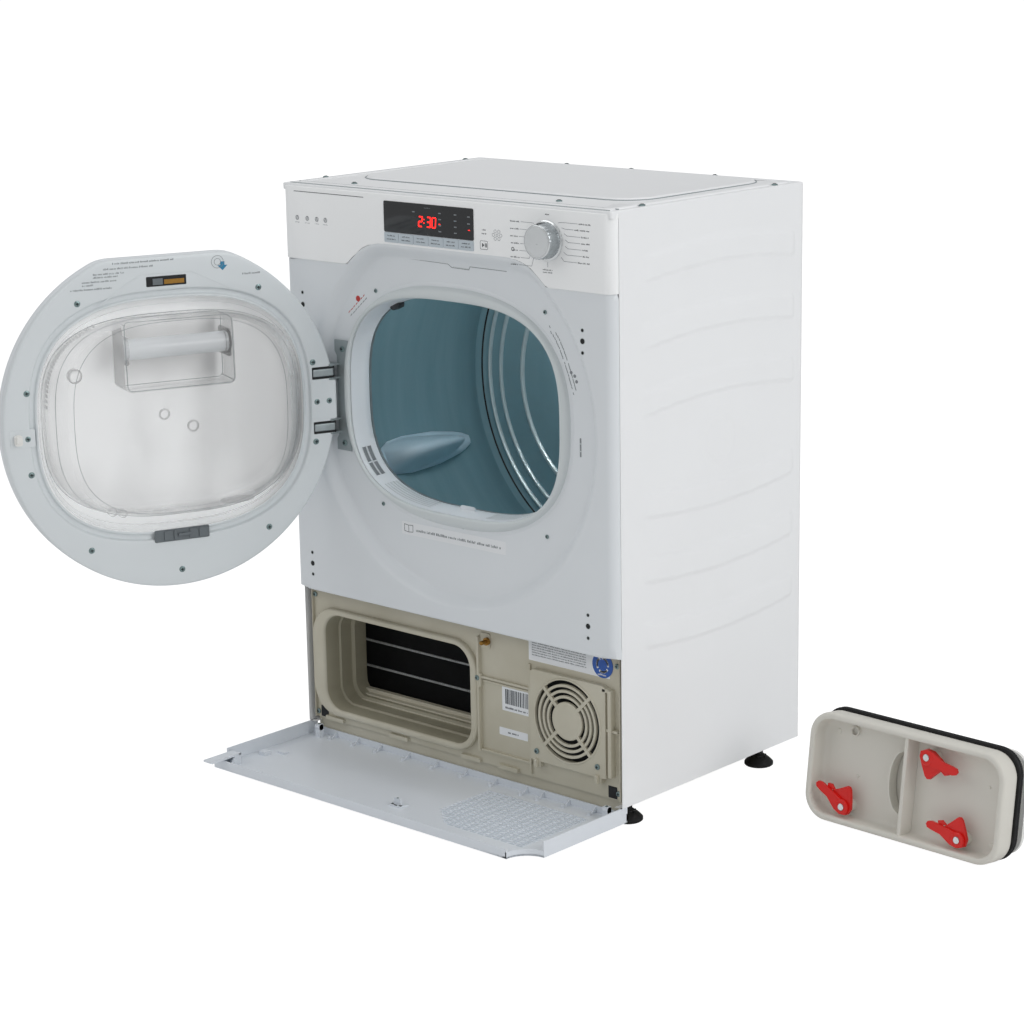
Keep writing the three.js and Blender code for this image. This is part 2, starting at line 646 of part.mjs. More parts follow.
put('opening_trim', COOL_WHITE, openingTrim());
put('front_bulkhead', GALVANISED, frontBulkhead());
put('drum_front_seal', DARK, drumSeal());
put('rear_bulkhead', GALVANISED, rearBulkhead());
put('drum_shell', STEEL, drumShell());
[200, 320, 80].forEach((angle, i) => put(`lifter_${i + 1}`, LIFTER_BLUE, lifter(angle)));
put('drive_belt', RUBBER, driveBelt());
put('drive_motor', DARK, driveMotor());
put('motor_pulley', STEEL, motorPulley());
put('blower_wheel', DARK, blowerWheel());
put('exchanger_duct', BEIGE, exchangerDuct());
put('evaporator', BLACK, finBlock(92, 180, 22));
put('condenser_coil', BLACK, finBlock(196, 276, 8));
put('compressor', DARK, compressor());
put('fan_bracket', DARK, fanBracket());
put('cooling_fan', DARK, coolingFan());
put('lint_filter', COOL_WHITE, lintFilter());

put('display_window', BLACK, box(DISPLAY.x0, DISPLAY.x1, -2.6, 1, DISPLAY.split, DISPLAY.z1));
put('control_board', BOARD, box(-110, 110, 7.5, 9.5, 750, 814));
for (let i = 0; i < KEYS; i += 1) put(`key_${i + 1}`, KEY_GREY, keyCap(i));
put('start_key', COOL_WHITE, box(77, 92, -3, 5, 756, 769));
put('programme_knob', SILVER, knob());

put('hinge_plate', COOL_WHITE, hingePlate());
put('door_lock', DARK, doorLock());
const door = swung(DOOR.hingeX, DOOR.hingeY, 0, 0, -DOOR.open);
put('door_outer', COOL_WHITE, doorOuter(), door);
put('door_ring', COOL_WHITE, doorRing(), door);
put('door_liner', CLEAR, doorLiner(), door);
put('hinge_arms', STEEL, hingeArms(), door);
put('water_tank', CLEAR, waterTank(), door);
put('tank_handle', WHITE, tankHandle(), door);
put('tank_latch', DARK, tankLatch(), door);

const flap = swung(0, FLAP.y, FLAP.z, FLAP.open, 0);
put('kick_flap', COOL_WHITE, kickFlap(), flap);

const cover = new THREE.Group();
cover.position.set(COVER.x, COVER.y, (COVER.depth + 0.1) * Math.sin((COVER.lean * Math.PI) / 180));
cover.rotation.set((-COVER.lean * Math.PI) / 180, 0, (COVER.yaw * Math.PI) / 180, 'ZYX');
machine.add(cover);
put('cover_plate', BEIGE, coverPlate(), cover);
put('cover_seal', RUBBER, coverSeal(), cover);
put('cover_frame', WHITE, coverFrame(), cover);
leverPivots().forEach((pivot, i) => put(`lever_${i + 1}`, RED, lever(pivot, [-16, 182, 0][i]), cover));

machine.updateMatrixWorld(true);
const bounds = new THREE.Box3().setFromObject(machine, true);
machine.position.set(-(bounds.min.x + bounds.max.x) / 2, -(bounds.min.y + bounds.max.y) / 2, -bounds.min.z);

export default part;
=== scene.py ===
import math
import random

import bmesh
import bpy
from mathutils import Matrix, Vector


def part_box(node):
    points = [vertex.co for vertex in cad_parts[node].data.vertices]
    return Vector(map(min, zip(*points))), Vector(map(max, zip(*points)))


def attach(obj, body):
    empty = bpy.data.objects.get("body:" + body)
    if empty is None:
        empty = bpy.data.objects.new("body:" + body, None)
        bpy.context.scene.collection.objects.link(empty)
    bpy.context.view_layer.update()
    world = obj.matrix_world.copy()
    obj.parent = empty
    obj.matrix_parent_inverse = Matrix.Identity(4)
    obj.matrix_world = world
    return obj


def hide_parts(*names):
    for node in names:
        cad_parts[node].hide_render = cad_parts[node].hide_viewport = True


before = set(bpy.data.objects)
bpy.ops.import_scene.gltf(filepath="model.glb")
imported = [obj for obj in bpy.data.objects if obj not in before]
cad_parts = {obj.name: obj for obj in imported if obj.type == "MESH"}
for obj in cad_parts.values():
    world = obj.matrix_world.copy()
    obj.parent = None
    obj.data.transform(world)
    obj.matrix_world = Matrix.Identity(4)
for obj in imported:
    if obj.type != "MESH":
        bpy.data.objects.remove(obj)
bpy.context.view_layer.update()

rng = random.Random(7)

# ---- frames: every part is drawn in millimetres and placed by one of these ------------------------
MM = 0.001
HALF, SIDE_FRONT = 298, 25
side_lo, side_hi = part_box("side_panel_right")
SHIFT = Vector((side_hi.x - HALF * MM, side_lo.y - SIDE_FRONT * MM, 0))


def turn(deg, axis):
    return Matrix.Rotation(math.radians(deg), 4, axis)


def about(x, y, z, rotation):
    return Matrix.Translation((x, y, z)) @ rotation @ Matrix.Translation((-x, -y, -z))


MACHINE = Matrix.Translation(SHIFT) @ Matrix.Scale(MM, 4)
DOOR_OPEN = -112
HINGE_X, HINGE_Y, HINGE_Z = -218, -3, (486, 563)
DOOR = MACHINE @ about(HINGE_X, HINGE_Y, 0, turn(DOOR_OPEN, "Z"))
FLAP_HINGE = (0, 24, 36)
FLAP = MACHINE @ about(*FLAP_HINGE, turn(90, "X"))
COVER_LEAN, COVER_SKEW, COVER_FOOT = 7, -2.3, 30.1
COVER = (MACHINE @ Matrix.Translation((441, 215, COVER_FOOT * math.sin(math.radians(COVER_LEAN))))
         @ turn(COVER_SKEW, "Z") @ turn(-COVER_LEAN, "X"))


# ---- camera and light -----------------------------------------------------------------------------
CAMERA_PLACE = (2.17998, -2.44782, 1.21165)
CAMERA_TURN = (42.38113, 13.59839, -0.9967)   # azimuth, elevation, roll
CAMERA_LENS = 90.70
SEEN_WHITE, ROOM_LIGHT, FLOOR_GLOW = 1.05, 0.50, 1.35
LAMPS = (
    # name, place, target, size, power
    ("key", (-2.3, -2.8, 2.9), (0, 0, 0.4), (2.6, 2.0), 19),
    ("side", (3.8, 0.2, 2.3), (0, 0, 0.4), (2.0, 2.0), 50),
    ("top", (-0.2, 0.2, 3.4), (-0.2, 0, 0.8), (2.2, 2.2), 14),
    ("drum_lamp", (SHIFT.x + 0.06, SHIFT.y + 0.075, 0.735), (SHIFT.x - 0.02, SHIFT.y + 0.33, 0.40),
     (0.10, 0.03), 0.42),
)


def make_camera():
    az, el, roll = (math.radians(v) for v in CAMERA_TURN)
    back = Vector((math.sin(az) * math.cos(el), -math.cos(az) * math.cos(el), math.sin(el)))
    right = Vector((0, 0, 1)).cross(back).normalized()
    up = back.cross(right)
    right2 = math.cos(roll) * right + math.sin(roll) * up
    up2 = -math.sin(roll) * right + math.cos(roll) * up
    data = bpy.data.cameras.new("camera")
    data.lens = CAMERA_LENS
    data.sensor_width = 36
    data.clip_end = 60
    cam = bpy.data.objects.new("camera", data)
    bpy.context.collection.objects.link(cam)
    rot = Matrix((right2, up2, back)).transposed()
    cam.matrix_world = Matrix.Translation(CAMERA_PLACE) @ rot.to_4x4()
    bpy.context.scene.camera = cam


def area_light(name, place, target, size, power):
    data = bpy.data.lights.new(name, "AREA")
    data.shape = "RECTANGLE"
    data.size, data.size_y = size
    data.energy = power
    lamp = bpy.data.objects.new(name, data)
    bpy.context.collection.objects.link(lamp)
    lamp.location = place
    lamp.rotation_mode = "QUATERNION"
    lamp.rotation_quaternion = (Vector(target) - Vector(place)).to_track_quat("-Z", "Y")


def make_studio():
    bpy.context.scene.view_settings.view_transform = "Standard"
    world = bpy.data.worlds.new("studio")
    bpy.context.scene.world = world
    world.use_nodes = True
    tree = world.node_tree
    light = tree.nodes["Background"]
    light.inputs["Color"].default_value = (0.97, 0.985, 1.0, 1)
    light.inputs["Strength"].default_value = ROOM_LIGHT
    seen = tree.nodes.new("ShaderNodeBackground")
    seen.inputs["Color"].default_value = (1, 1, 1, 1)
    seen.inputs["Strength"].default_value = SEEN_WHITE
    mix = tree.nodes.new("ShaderNodeMixShader")
    path = tree.nodes.new("ShaderNodeLightPath")
    tree.links.new(path.outputs["Is Camera Ray"], mix.inputs["Fac"])
    tree.links.new(light.outputs["Background"], mix.inputs[1])
    tree.links.new(seen.outputs["Background"], mix.inputs[2])
    tree.links.new(mix.outputs["Shader"], tree.nodes["World Output"].inputs["Surface"])
    for name, place, target, size, power in LAMPS:
        area_light(name, place, target, size, power)


def floor_material():
    """Pale paper that is seen a little brighter than it lights the object."""
    mat = surface("floor_paper", "#f4f4f4", 0.7, 0.005, grain=30, strength=0.01, cloud=1)
    tree = mat.node_tree
    out = tree.nodes["Material Output"]
    glow = tree.nodes.new("ShaderNodeEmission")
    mix = tree.nodes.new("ShaderNodeMixShader")
    path = tree.nodes.new("ShaderNodeLightPath")
    share = tree.nodes.new("ShaderNodeMath")
    share.operation = "MULTIPLY"
    share.inputs[1].default_value = 0.72
    tree.links.new(path.outputs["Is Camera Ray"], share.inputs[0])
    tree.links.new(share.outputs["Value"], mix.inputs["Fac"])
    tree.links.new(tree.nodes["Principled BSDF"].outputs["BSDF"], mix.inputs[1])
    tree.links.new(glow.outputs["Emission"], mix.inputs[2])
    tree.links.new(mix.outputs["Shader"], out.inputs["Surface"])
    glow.inputs["Strength"].default_value = FLOOR_GLOW
    return mat


def make_floor():
    bm = bmesh.new()
    bmesh.ops.create_grid(bm, x_segments=2, y_segments=2, size=14)
    mesh = bpy.data.meshes.new("floor")
    bm.to_mesh(mesh)
    bm.free()
    floor = bpy.data.objects.new("floor", mesh)
    bpy.context.collection.objects.link(floor)
    floor.location.z = -0.0005
    floor.data.materials.append(floor_material())


# ---- materials ------------------------------------------------------------------------------------
def srgb(text):
    out = []
    for i in (1, 3, 5):
        c = int(text[i:i + 2], 16) / 255
        out.append(c / 12.92 if c <= 0.04045 else ((c + 0.055) / 1.055) ** 2.4)
    return tuple(out) + (1,)


def scaled(color, k):
    return tuple(min(1, c * k) for c in color[:3]) + (1,)


def new_material(name):
    mat = bpy.data.materials.new(name)
    mat.use_nodes = True
    tree = mat.node_tree
    return mat, tree, tree.nodes["Principled BSDF"]


def noise(tree, scale, detail=3, stretch=None):
    coord = tree.nodes.new("ShaderNodeTexCoord")
    tex = tree.nodes.new("ShaderNodeTexNoise")
    tex.inputs["Scale"].default_value = scale
    tex.inputs["Detail"].default_value = detail
    tex.inputs["Roughness"].default_value = 0.55
    source = coord.outputs["Object"]
    if stretch:
        mapping = tree.nodes.new("ShaderNodeMapping")
        mapping.inputs["Scale"].default_value = stretch
        tree.links.new(source, mapping.inputs["Vector"])
        source = mapping.outputs["Vector"]
    tree.links.new(source, tex.inputs["Vector"])
    return tex.outputs["Fac"]


def ramp(tree, fac, low, high, at=(0.3, 0.7)):
    node = tree.nodes.new("ShaderNodeValToRGB")
    node.color_ramp.elements[0].position, node.color_ramp.elements[1].position = at
    node.color_ramp.elements[0].color = low
    node.color_ramp.elements[1].color = high
    tree.links.new(fac, node.inputs["Fac"])
    return node.outputs["Color"]


def spread(tree, fac, low, high):
    node = tree.nodes.new("ShaderNodeMapRange")
    node.inputs["From Min"].default_value = 0.3
    node.inputs["From Max"].default_value = 0.7
    node.inputs["To Min"].default_value = low
    node.inputs["To Max"].default_value = high
    tree.links.new(fac, node.inputs["Value"])
    return node.outputs["Result"]


def bump(tree, bsdf, height, strength, distance):
    node = tree.nodes.new("ShaderNodeBump")
    node.inputs["Strength"].default_value = strength
    node.inputs["Distance"].default_value = distance
    tree.links.new(height, node.inputs["Height"])
    tree.links.new(node.outputs["Normal"], bsdf.inputs["Normal"])


def surface(name, color, rough, vary=0.04, metal=0.0, grain=900, strength=0.15, deep=0.0002,
            cloud=7, spec=0.5, coat=0.0, stretch=None, tint=None):
    """A surface with cloudy colour drift, a fine grain in its height and an uneven gloss."""
    mat, tree, bsdf = new_material(name)
    base = srgb(color) if isinstance(color, str) else color
    other = srgb(tint) if tint else scaled(base, 1 - vary)
    cloudy = noise(tree, cloud, 4, stretch)
    tree.links.new(ramp(tree, cloudy, other, base), bsdf.inputs["Base Color"])
    fine = noise(tree, grain, 3, stretch)
    tree.links.new(spread(tree, noise(tree, cloud * 9, 3, stretch), rough * 0.88, rough * 1.12),
                   bsdf.inputs["Roughness"])
    bsdf.inputs["Metallic"].default_value = metal
    bsdf.inputs["Specular IOR Level"].default_value = spec
    bsdf.inputs["Coat Weight"].default_value = coat
    bump(tree, bsdf, fine, strength, deep)
    return mat


def clear_plastic(name, color, rough, face_on, edge_on, reflection_streak_shade=0.45):
    """Thin clear moulding: nearly unseen face on, and milky where it is seen edge on; its colour carries
    painted reflection streaks.
    """
    mat, tree, bsdf = new_material(name)
    base = srgb(color)
    # painted reflection: noise streaks darken the base colour to stand in for the glossy reflection streaks
    # in the clear walls
    painted_reflection_streaks = noise(tree, 9, 2, (1, 1, 0.3))
    tree.links.new(ramp(tree, painted_reflection_streaks, scaled(base, reflection_streak_shade), base, (0.38, 0.56)), bsdf.inputs["Base Color"])
    tree.links.new(spread(tree, noise(tree, 30, 3), rough * 0.6, rough * 1.4), bsdf.inputs["Roughness"])
    weight = tree.nodes.new("ShaderNodeLayerWeight")
    weight.inputs["Blend"].default_value = 0.42
    opacity = tree.nodes.new("ShaderNodeMapRange")
    opacity.inputs["To Min"].default_value = face_on
    opacity.inputs["To Max"].default_value = edge_on
    tree.links.new(weight.outputs["Facing"], opacity.inputs["Value"])
    path = tree.nodes.new("ShaderNodeLightPath")
    lit = tree.nodes.new("ShaderNodeMath")
    lit.operation = "MULTIPLY_ADD"
    lit.inputs[1].default_value = -0.85
    lit.inputs[2].default_value = 1.0
    share = tree.nodes.new("ShaderNodeMath")
    share.operation = "MULTIPLY"
    tree.links.new(path.outputs["Is Shadow Ray"], lit.inputs[0])
    tree.links.new(lit.outputs["Value"], share.inputs[0])
    tree.links.new(opacity.outputs["Result"], share.inputs[1])
    tree.links.new(share.outputs["Value"], bsdf.inputs["Alpha"])
    bsdf.inputs["Coat Weight"].default_value = 0.5
    bsdf.inputs["Coat Roughness"].default_value = 0.02
    bump(tree, bsdf, noise(tree, 6, 1), 0.05, 0.003)
    return mat


def glowing(name, color, power):
    mat, tree, bsdf = new_material(name)
    base = srgb(color)
    tree.links.new(ramp(tree, noise(tree, 700, 2), scaled(base, 0.8), base), bsdf.inputs["Base Color"])
    tree.links.new(ramp(tree, noise(tree, 700, 2), scaled(base, 0.85), base), bsdf.inputs["Emission Color"])
    bsdf.inputs["Emission Strength"].default_value = power
    bsdf.inputs["Roughness"].default_value = 0.3
    return mat


MAT = {
    "enamel": surface("enamel_white", "#f4f5f6", 0.34, 0.015, grain=420, strength=0.10, coat=0.15),
    "front": surface("front_white", "#e4e8eb", 0.36, 0.02, grain=420, strength=0.10, coat=0.15),
    "panel": surface("panel_plastic", "#fcfdfd", 0.42, 0.02, grain=1500, strength=0.20, deep=0.0001),
    "trim": surface("trim_plastic", "#d3d9da", 0.40, 0.03, grain=1300, strength=0.20, deep=0.0001),
    "throat": surface("throat_plastic", "#e6eaee", 0.34, 0.02, grain=1300, strength=0.15, deep=0.0001),
    "ring": surface("door_ring_plastic", "#dfe4e6", 0.36, 0.02, grain=1300, strength=0.15, deep=0.0001),
    "flap": surface("flap_plastic", "#e3e8ee", 0.34, 0.02, grain=1300, strength=0.15, deep=0.0001),
    "beige": surface("beige_moulding", "#cdc8b7", 0.50, 0.05, grain=1600, strength=0.25, deep=0.00012,
                     tint="#bfb9a5"),
    # painted shade: a darker copy of the beige moulding for the kick frame's faces deep in its opening
    "beige_shaded": surface("beige_recess_shade", "#aaa591", 0.50, 0.05, grain=1600, strength=0.25, deep=0.00012,
                          tint="#9a947f"),
    "cover": surface("cover_moulding", "#dbd8cf", 0.46, 0.04, grain=1600, strength=0.2, deep=0.0001),
    "white": surface("white_moulding", "#efeeea", 0.40, 0.03, grain=1600, strength=0.2, deep=0.0001),
    "zinc": surface("zinc_plate", "#aeb6b8", 0.34, 0.20, metal=0.9, grain=600, strength=0.15, cloud=60),
    "zinc_grey": surface("hinge_plate_grey", "#aab3b5", 0.42, 0.12, metal=0.55, grain=900, cloud=50),
    "screw": surface("screw_steel", "#8fa3a3", 0.30, 0.30, metal=0.9, grain=2500, cloud=300),
    # painted shade: near black for the inside of holes, slots, screw recesses, the groove at the drum's
    # back and the disc behind the fan
    "hole": surface("hole_shade", "#1c1e20", 0.7, 0.3, grain=900),
    "glass": surface("display_glass", "#15171a", 0.08, 0.2, grain=300, strength=0.02, coat=0.6),
    # the keys' own grey blue, and painted shade in the flap's louvre openings
    "key": surface("key_grey_blue_and_vent_shade", "#c3cdd4", 0.38, 0.05, grain=1500, strength=0.15, deep=0.0001),
    "ink": surface("print_ink", "#4e5357", 0.55, 0.2, grain=2500),
    # print, and painted shade in the lock slot and the throat's vent slots
    "ink_soft": surface("soft_print_ink_and_slot_shade", "#8b9094", 0.55, 0.15, grain=2500),
    "ink_red": surface("print_ink_red", "#c33a34", 0.5, 0.15, grain=2500),
    "ink_blue": surface("print_ink_blue", "#2f86ad", 0.5, 0.15, grain=2500),
    "led": glowing("red_segments", "#ff1a14", 3.2),
    "led_dim": surface("unlit_marks", "#3c4044", 0.3, 0.2, grain=900),
    "knob": surface("knob_cap", "#dfe2e3", 0.30, 0.03, metal=0.35, grain=1500, strength=0.1),
    "knob_side": surface("knob_fluting", "#b6bcbf", 0.20, 0.25, metal=0.95, grain=900, cloud=120),
    "chrome": surface("bright_ring", "#e3e6e7", 0.14, 0.10, metal=0.95, grain=500, strength=0.03),
    "drum": surface("drum_steel", "#93b4bd", 0.42, 0.10, metal=0.10, grain=260, strength=0.10,
                    stretch=(1, 8, 1), cloud=5, tint="#86a9b3"),
    # painted highlight: a lighter copy of the drum steel for the beads pressed into its back
    "drum_bead": surface("drum_bead_highlight_steel", "#d5e4e6", 0.32, 0.10, metal=0.4, grain=300, strength=0.1),
    "lifter": surface("lifter_blue", "#d8eefa", 0.36, 0.05, grain=1200, strength=0.15, deep=0.0001),
    "rubber": surface("black_rubber", "#1a1a1b", 0.62, 0.25, grain=1400, strength=0.4, spec=0.35),
    "gasket": surface("grey_gasket", "#5d6462", 0.7, 0.2, grain=1600, strength=0.5),
    "fin": surface("black_fin", "#17181a", 0.5, 0.35, metal=0.3, grain=1200, cloud=40),
    "tube": surface("coil_tube", "#d3d6d7", 0.45, 0.3, metal=0.8, grain=900, cloud=200),
    "red": surface("lever_red", "#e0170f", 0.34, 0.12, grain=1300, strength=0.15, deep=0.0001),
    "brass": surface("brass_stud", "#a97f3f", 0.4, 0.25, metal=0.9, grain=900, cloud=90),
    "label": surface("label_paper", "#eceef0", 0.55, 0.02, grain=2000, strength=0.05),
    "sticker_blue": surface("sticker_blue", "#1f57ae", 0.4, 0.08, grain=2000, strength=0.05),
    "galvanised": surface("galvanised_sheet", "#a9afb2", 0.42, 0.22, metal=0.75, grain=700, cloud=45),
    "dark": surface("dark_plastic", "#34373a", 0.5, 0.2, grain=1300, strength=0.25),
    "dark_grey": surface("slate_plastic", "#6d7478", 0.45, 0.12, grain=1300, strength=0.2),
    "cast": surface("cast_dark", "#2b2d30", 0.55, 0.25, metal=0.4, grain=700, strength=0.3, cloud=60),
    "board": surface("board_green", "#1f5a34", 0.5, 0.25, grain=1500, strength=0.3, cloud=120),
    "felt": surface("felt", "#5a5d5f", 0.95, 0.2, grain=2600, strength=0.8, spec=0.1),
    "clear": clear_plastic("clear_plastic", "#ffffff", 0.03, 0.02, 0.62),
    # painted light: this white inner skin of the door is given a glow below
    "door_inside": surface("door_inside_glowing_white", "#fbfcfc", 0.5, 0.01, grain=420, strength=0.05),
    # painted shade for the lines along the top sheet's folds
    "fold": surface("fold_shade", "#9ba3a6", 0.4, 0.15, cloud=12, grain=900, strength=0.1),
    # painted shade along the corners and rims of the clear tank
    "edge": surface("clear_edge_shade_grey", "#a3a9ab", 0.25, 0.35, cloud=30, grain=600, strength=0.1),
    "frosted": clear_plastic("frosted_plastic", "#eceff1", 0.45, 0.8, 1.0, 0.95),
}


# painted light: the door's inner skin glows although it is no lamp
DOOR_INSIDE_GLOW = 0.17   # stands in for the light that thick clear plastic carries behind itself
inside = MAT["door_inside"].node_tree.nodes["Principled BSDF"]
inside.inputs["Emission Color"].default_value = (1, 1, 1, 1)
inside.inputs["Emission Strength"].default_value = DOOR_INSIDE_GLOW


# ---- outlines, in millimetres ---------------------------------------------------------------------
def superellipse(a, b, n, cx, cz, count=144):
    out = []
    for i in range(count):
        t = 2 * math.pi * i / count
        c, s = math.cos(t), math.sin(t)
        out.append((cx + a * math.copysign(abs(c) ** (2 / n), c),
                    cz + b * math.copysign(abs(s) ** (2 / n), s)))
    return out


def soft_min(a, b, k):
    h = max(0, min(1, 0.5 + 0.5 * (b - a) / k))
    return b + (a - b) * h - k * h * (1 - h)


def flat_top(r, top, cx, cz, count=144, soft=10):
    out = []
    for i in range(count):
        t = 2 * math.pi * i / count
        out.append((cx + r * math.cos(t), cz + soft_min(r * math.sin(t), top, soft)))
    return out


def round_rect(x0, x1, z0, z1, r, steps=6):
    out = []
    for cx, cz, start in ((x1 - r, z0 + r, -90), (x1 - r, z1 - r, 0), (x0 + r, z1 - r, 90),
                          (x0 + r, z0 + r, 180)):
        for i in range(steps + 1):
            t = math.radians(start + 90 * i / steps)
            out.append((cx + r * math.cos(t), cz + r * math.sin(t)))
    return out


def circle(cx, cz, r, count=48):
    return [(cx + r * math.cos(2 * math.pi * i / count), cz + r * math.sin(2 * math.pi * i / count))
            for i in range(count)]


def at_depth(points, y):
    return [(x, y, z) for x, z in points]


# ---- mesh pieces ----------------------------------------------------------------------------------
def skin(bm, rings, m=0, closed=True, looped=False, cap_first=False, cap_last=False):
    rows = [[bm.verts.new(p) for p in ring] for ring in rings]
    n = len(rows[0])
    pairs = list(zip(rows, rows[1:])) + ([(rows[-1], rows[0])] if looped else [])
    faces = []
    for a, b in pairs:
        for i in range(n if closed else n - 1):
            j = (i + 1) % n
            faces.append(bm.faces.new((a[i], a[j], b[j], b[i])))
    if cap_first:
        faces.append(bm.faces.new(rows[0][::-1]))
    if cap_last:
        faces.append(bm.faces.new(rows[-1]))
    for f in faces:
        f.material_index = m
    return faces


def block(bm, x0, x1, y0, y1, z0, z1, m=0):
    low = [(x0, y0, z0), (x1, y0, z0), (x1, y1, z0), (x0, y1, z0)]
    high = [(x, y, z1) for x, y, _ in low]
    return skin(bm, [low, high], m, cap_first=True, cap_last=True)


def slab(bm, points, y0, y1, m=0):
    """A flat outline in X and Z with a thickness along Y."""
    return skin(bm, [at_depth(points, y0), at_depth(points, y1)], m, cap_first=True, cap_last=True)


def frame_of(outer, inner, y0, y1):
    return [at_depth(outer, y0), at_depth(outer, y1), at_depth(inner, y1), at_depth(inner, y0)]


def lathe(bm, profile, centre, m=0, axis="Y", count=32, tip=True):
    """Profile pairs of radius and distance along the axis, turned about it."""
    rings = []
    for r, h in profile:
        ring = []
        for i in range(count):
            t = 2 * math.pi * i / count
            u, v = r * math.cos(t), r * math.sin(t)
            x, y, z = {"Y": (u, h, v), "Z": (u, v, h), "X": (h, u, v)}[axis]
            ring.append((centre[0] + x, centre[1] + y, centre[2] + z))
        rings.append(ring)
    return skin(bm, rings, m, cap_first=tip, cap_last=tip)


def tube(bm, points, radius, m=0, count=10, closed=False):
    """A round tube along a line of points."""
    pts = [Vector(p) for p in points]
    n = len(pts)
    rings = []
    for i, p in enumerate(pts):
        ahead = pts[(i + 1) % n] if closed or i + 1 < n else p
        behind = pts[i - 1] if closed or i > 0 else p
        along = (ahead - behind).normalized()
        ref = Vector((0, 0, 1)) if abs(along.z) < 0.9 else Vector((0, 1, 0))
        u = along.cross(ref).normalized()
        v = along.cross(u)
        turns = [2 * math.pi * k / count for k in range(count)]
        rings.append([p + radius * (math.cos(t) * u + math.sin(t) * v) for t in turns])
    return skin(bm, rings, m, looped=closed, cap_first=not closed, cap_last=not closed)


def stroke(bm, points, width, y, m=0, thick=0.12, closed=False):
    """A flat printed line on the plane of depth y, facing forwards."""
    pts = [Vector((p[0], 0, p[1])) for p in points]
    if closed:
        pts.append(pts[0])
    for a, b in zip(pts, pts[1:]):
        d = (b - a)
        if d.length < 1e-6:
            continue
        d.normalize()
        side = Vector((-d.z, 0, d.x)) * width / 2
        a2, b2 = a - d * width * 0.3, b + d * width * 0.3
        low = [a2 - side, b2 - side, b2 + side, a2 + side]
        skin(bm, [[(p.x, y, p.z) for p in low], [(p.x, y - thick, p.z) for p in low]], m,
             cap_first=True, cap_last=True)


def screw_head(bm, centre, r, facing=(0, -1, 0)):
    """A domed head with a cross recess in the second material, facing along the given direction."""
    out = Vector(facing).normalized()
    turn_to = Vector((0, 0, 1)).rotation_difference(out).to_matrix().to_4x4()
    place = Matrix.Translation(centre) @ turn_to
    start = len(bm.verts)
    lathe(bm, [(r, 0), (r, 0.25 * r), (0.86 * r, 0.42 * r), (0.5 * r, 0.52 * r), (0.2 * r, 0.54 * r)],
          (0, 0, 0), 0, "Z", 20)
    block(bm, -0.52 * r, 0.52 * r, -0.13 * r, 0.13 * r, 0.4 * r, 0.6 * r, 1)
    block(bm, -0.13 * r, 0.13 * r, -0.52 * r, 0.52 * r, 0.4 * r, 0.6 * r, 1)
    bm.verts.ensure_lookup_table()
    for v in bm.verts[start:]:
        v.co = place @ v.co


def piece(name, bm, mats, body, place=MACHINE, replaces=(), bevel=0.0, sharp=32, segments=2,
          thick=0.0, recalc=True):
    if recalc:
        bmesh.ops.remove_doubles(bm, verts=bm.verts, dist=1e-4)
        bmesh.ops.dissolve_degenerate(bm, edges=bm.edges, dist=1e-5)
        bmesh.ops.recalc_face_normals(bm, faces=bm.faces)
    bm.transform(place)
    mesh = bpy.data.meshes.new(name)
    bm.to_mesh(mesh)
    bm.free()
    for m in ([mats] if isinstance(mats, str) else mats):
        mesh.materials.append(MAT[m])
    mesh.polygons.foreach_set("use_smooth", [True] * len(mesh.polygons))
    mesh.set_sharp_from_angle(angle=math.radians(sharp))
    obj = bpy.data.objects.new(name, mesh)
    bpy.context.collection.objects.link(obj)
    if thick:
        mod = obj.modifiers.new("thick", "SOLIDIFY")
        mod.thickness = thick * MM
        mod.offset = -1
    if bevel:
        mod = obj.modifiers.new("bevel", "BEVEL")
        mod.width = bevel * MM
        mod.segments = segments
        mod.limit_method = "ANGLE"
        mod.angle_limit = math.radians(38)
        mod.harden_normals = True
    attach(obj, body)
    if replaces:
        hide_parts(*([replaces] if isinstance(replaces, str) else replaces))
    return obj


def smoothstep(t):
    t = max(0.0, min(1.0, t))
    return t * t * (3 - 2 * t)


# ---- cabinet --------------------------------------------------------------------------------------
PANEL_Z, TOP_Z, FRONT_Z = 716, 817, 239
RECESS_R, RECESS_TOP, RECESS_X, RECESS_Z = 262, 224, 9, 523
RECESS_RUN, RECESS_DEEP = 15, 15
OPEN_X, OPEN_Z, OPEN_A, OPEN_B = 7, 534, 193, 146
KNOB_X, KNOB_Z = 193.5, 777
DRUM_AXIS, DRUM_R = (0, 0, 509), 271.5
TANK_X, TANK_Z = 6.5, 529
EDGE_R = 13
SIDE_BACK = 403
PANEL_Y = -2
RETURN_Y = 13


def edge_drop(x):
    past = abs(x) - (HALF - EDGE_R)
    return EDGE_R - math.sqrt(max(0, EDGE_R ** 2 - past ** 2)) if past > 0 else 0


def recess_radius(t, grow):
    r, top = RECESS_R + grow, RECESS_TOP + grow
    s = math.sin(t)
    return soft_min(r, top / s, 16) if s > 0.3 else r


def ray_to_box(t, x0, x1, z0, z1):
    c, s = math.cos(t), math.sin(t)
    spans = []
    if abs(c) > 1e-9:
        spans.append(((x1 if c > 0 else x0) - RECESS_X) / c)
    if abs(s) > 1e-9:
        spans.append(((z1 if s > 0 else z0) - RECESS_Z) / s)
    return min(spans)


def front_angles():
    corners = [math.atan2(z - RECESS_Z, x - RECESS_X) % (2 * math.pi)
               for x in (-HALF, HALF) for z in (FRONT_Z, PANEL_Z)]
    even = [2 * math.pi * i / 176 for i in range(176)]
    keep = [t for t in even if min(abs(t - c) for c in corners) > 0.012]
    return sorted(keep + corners)


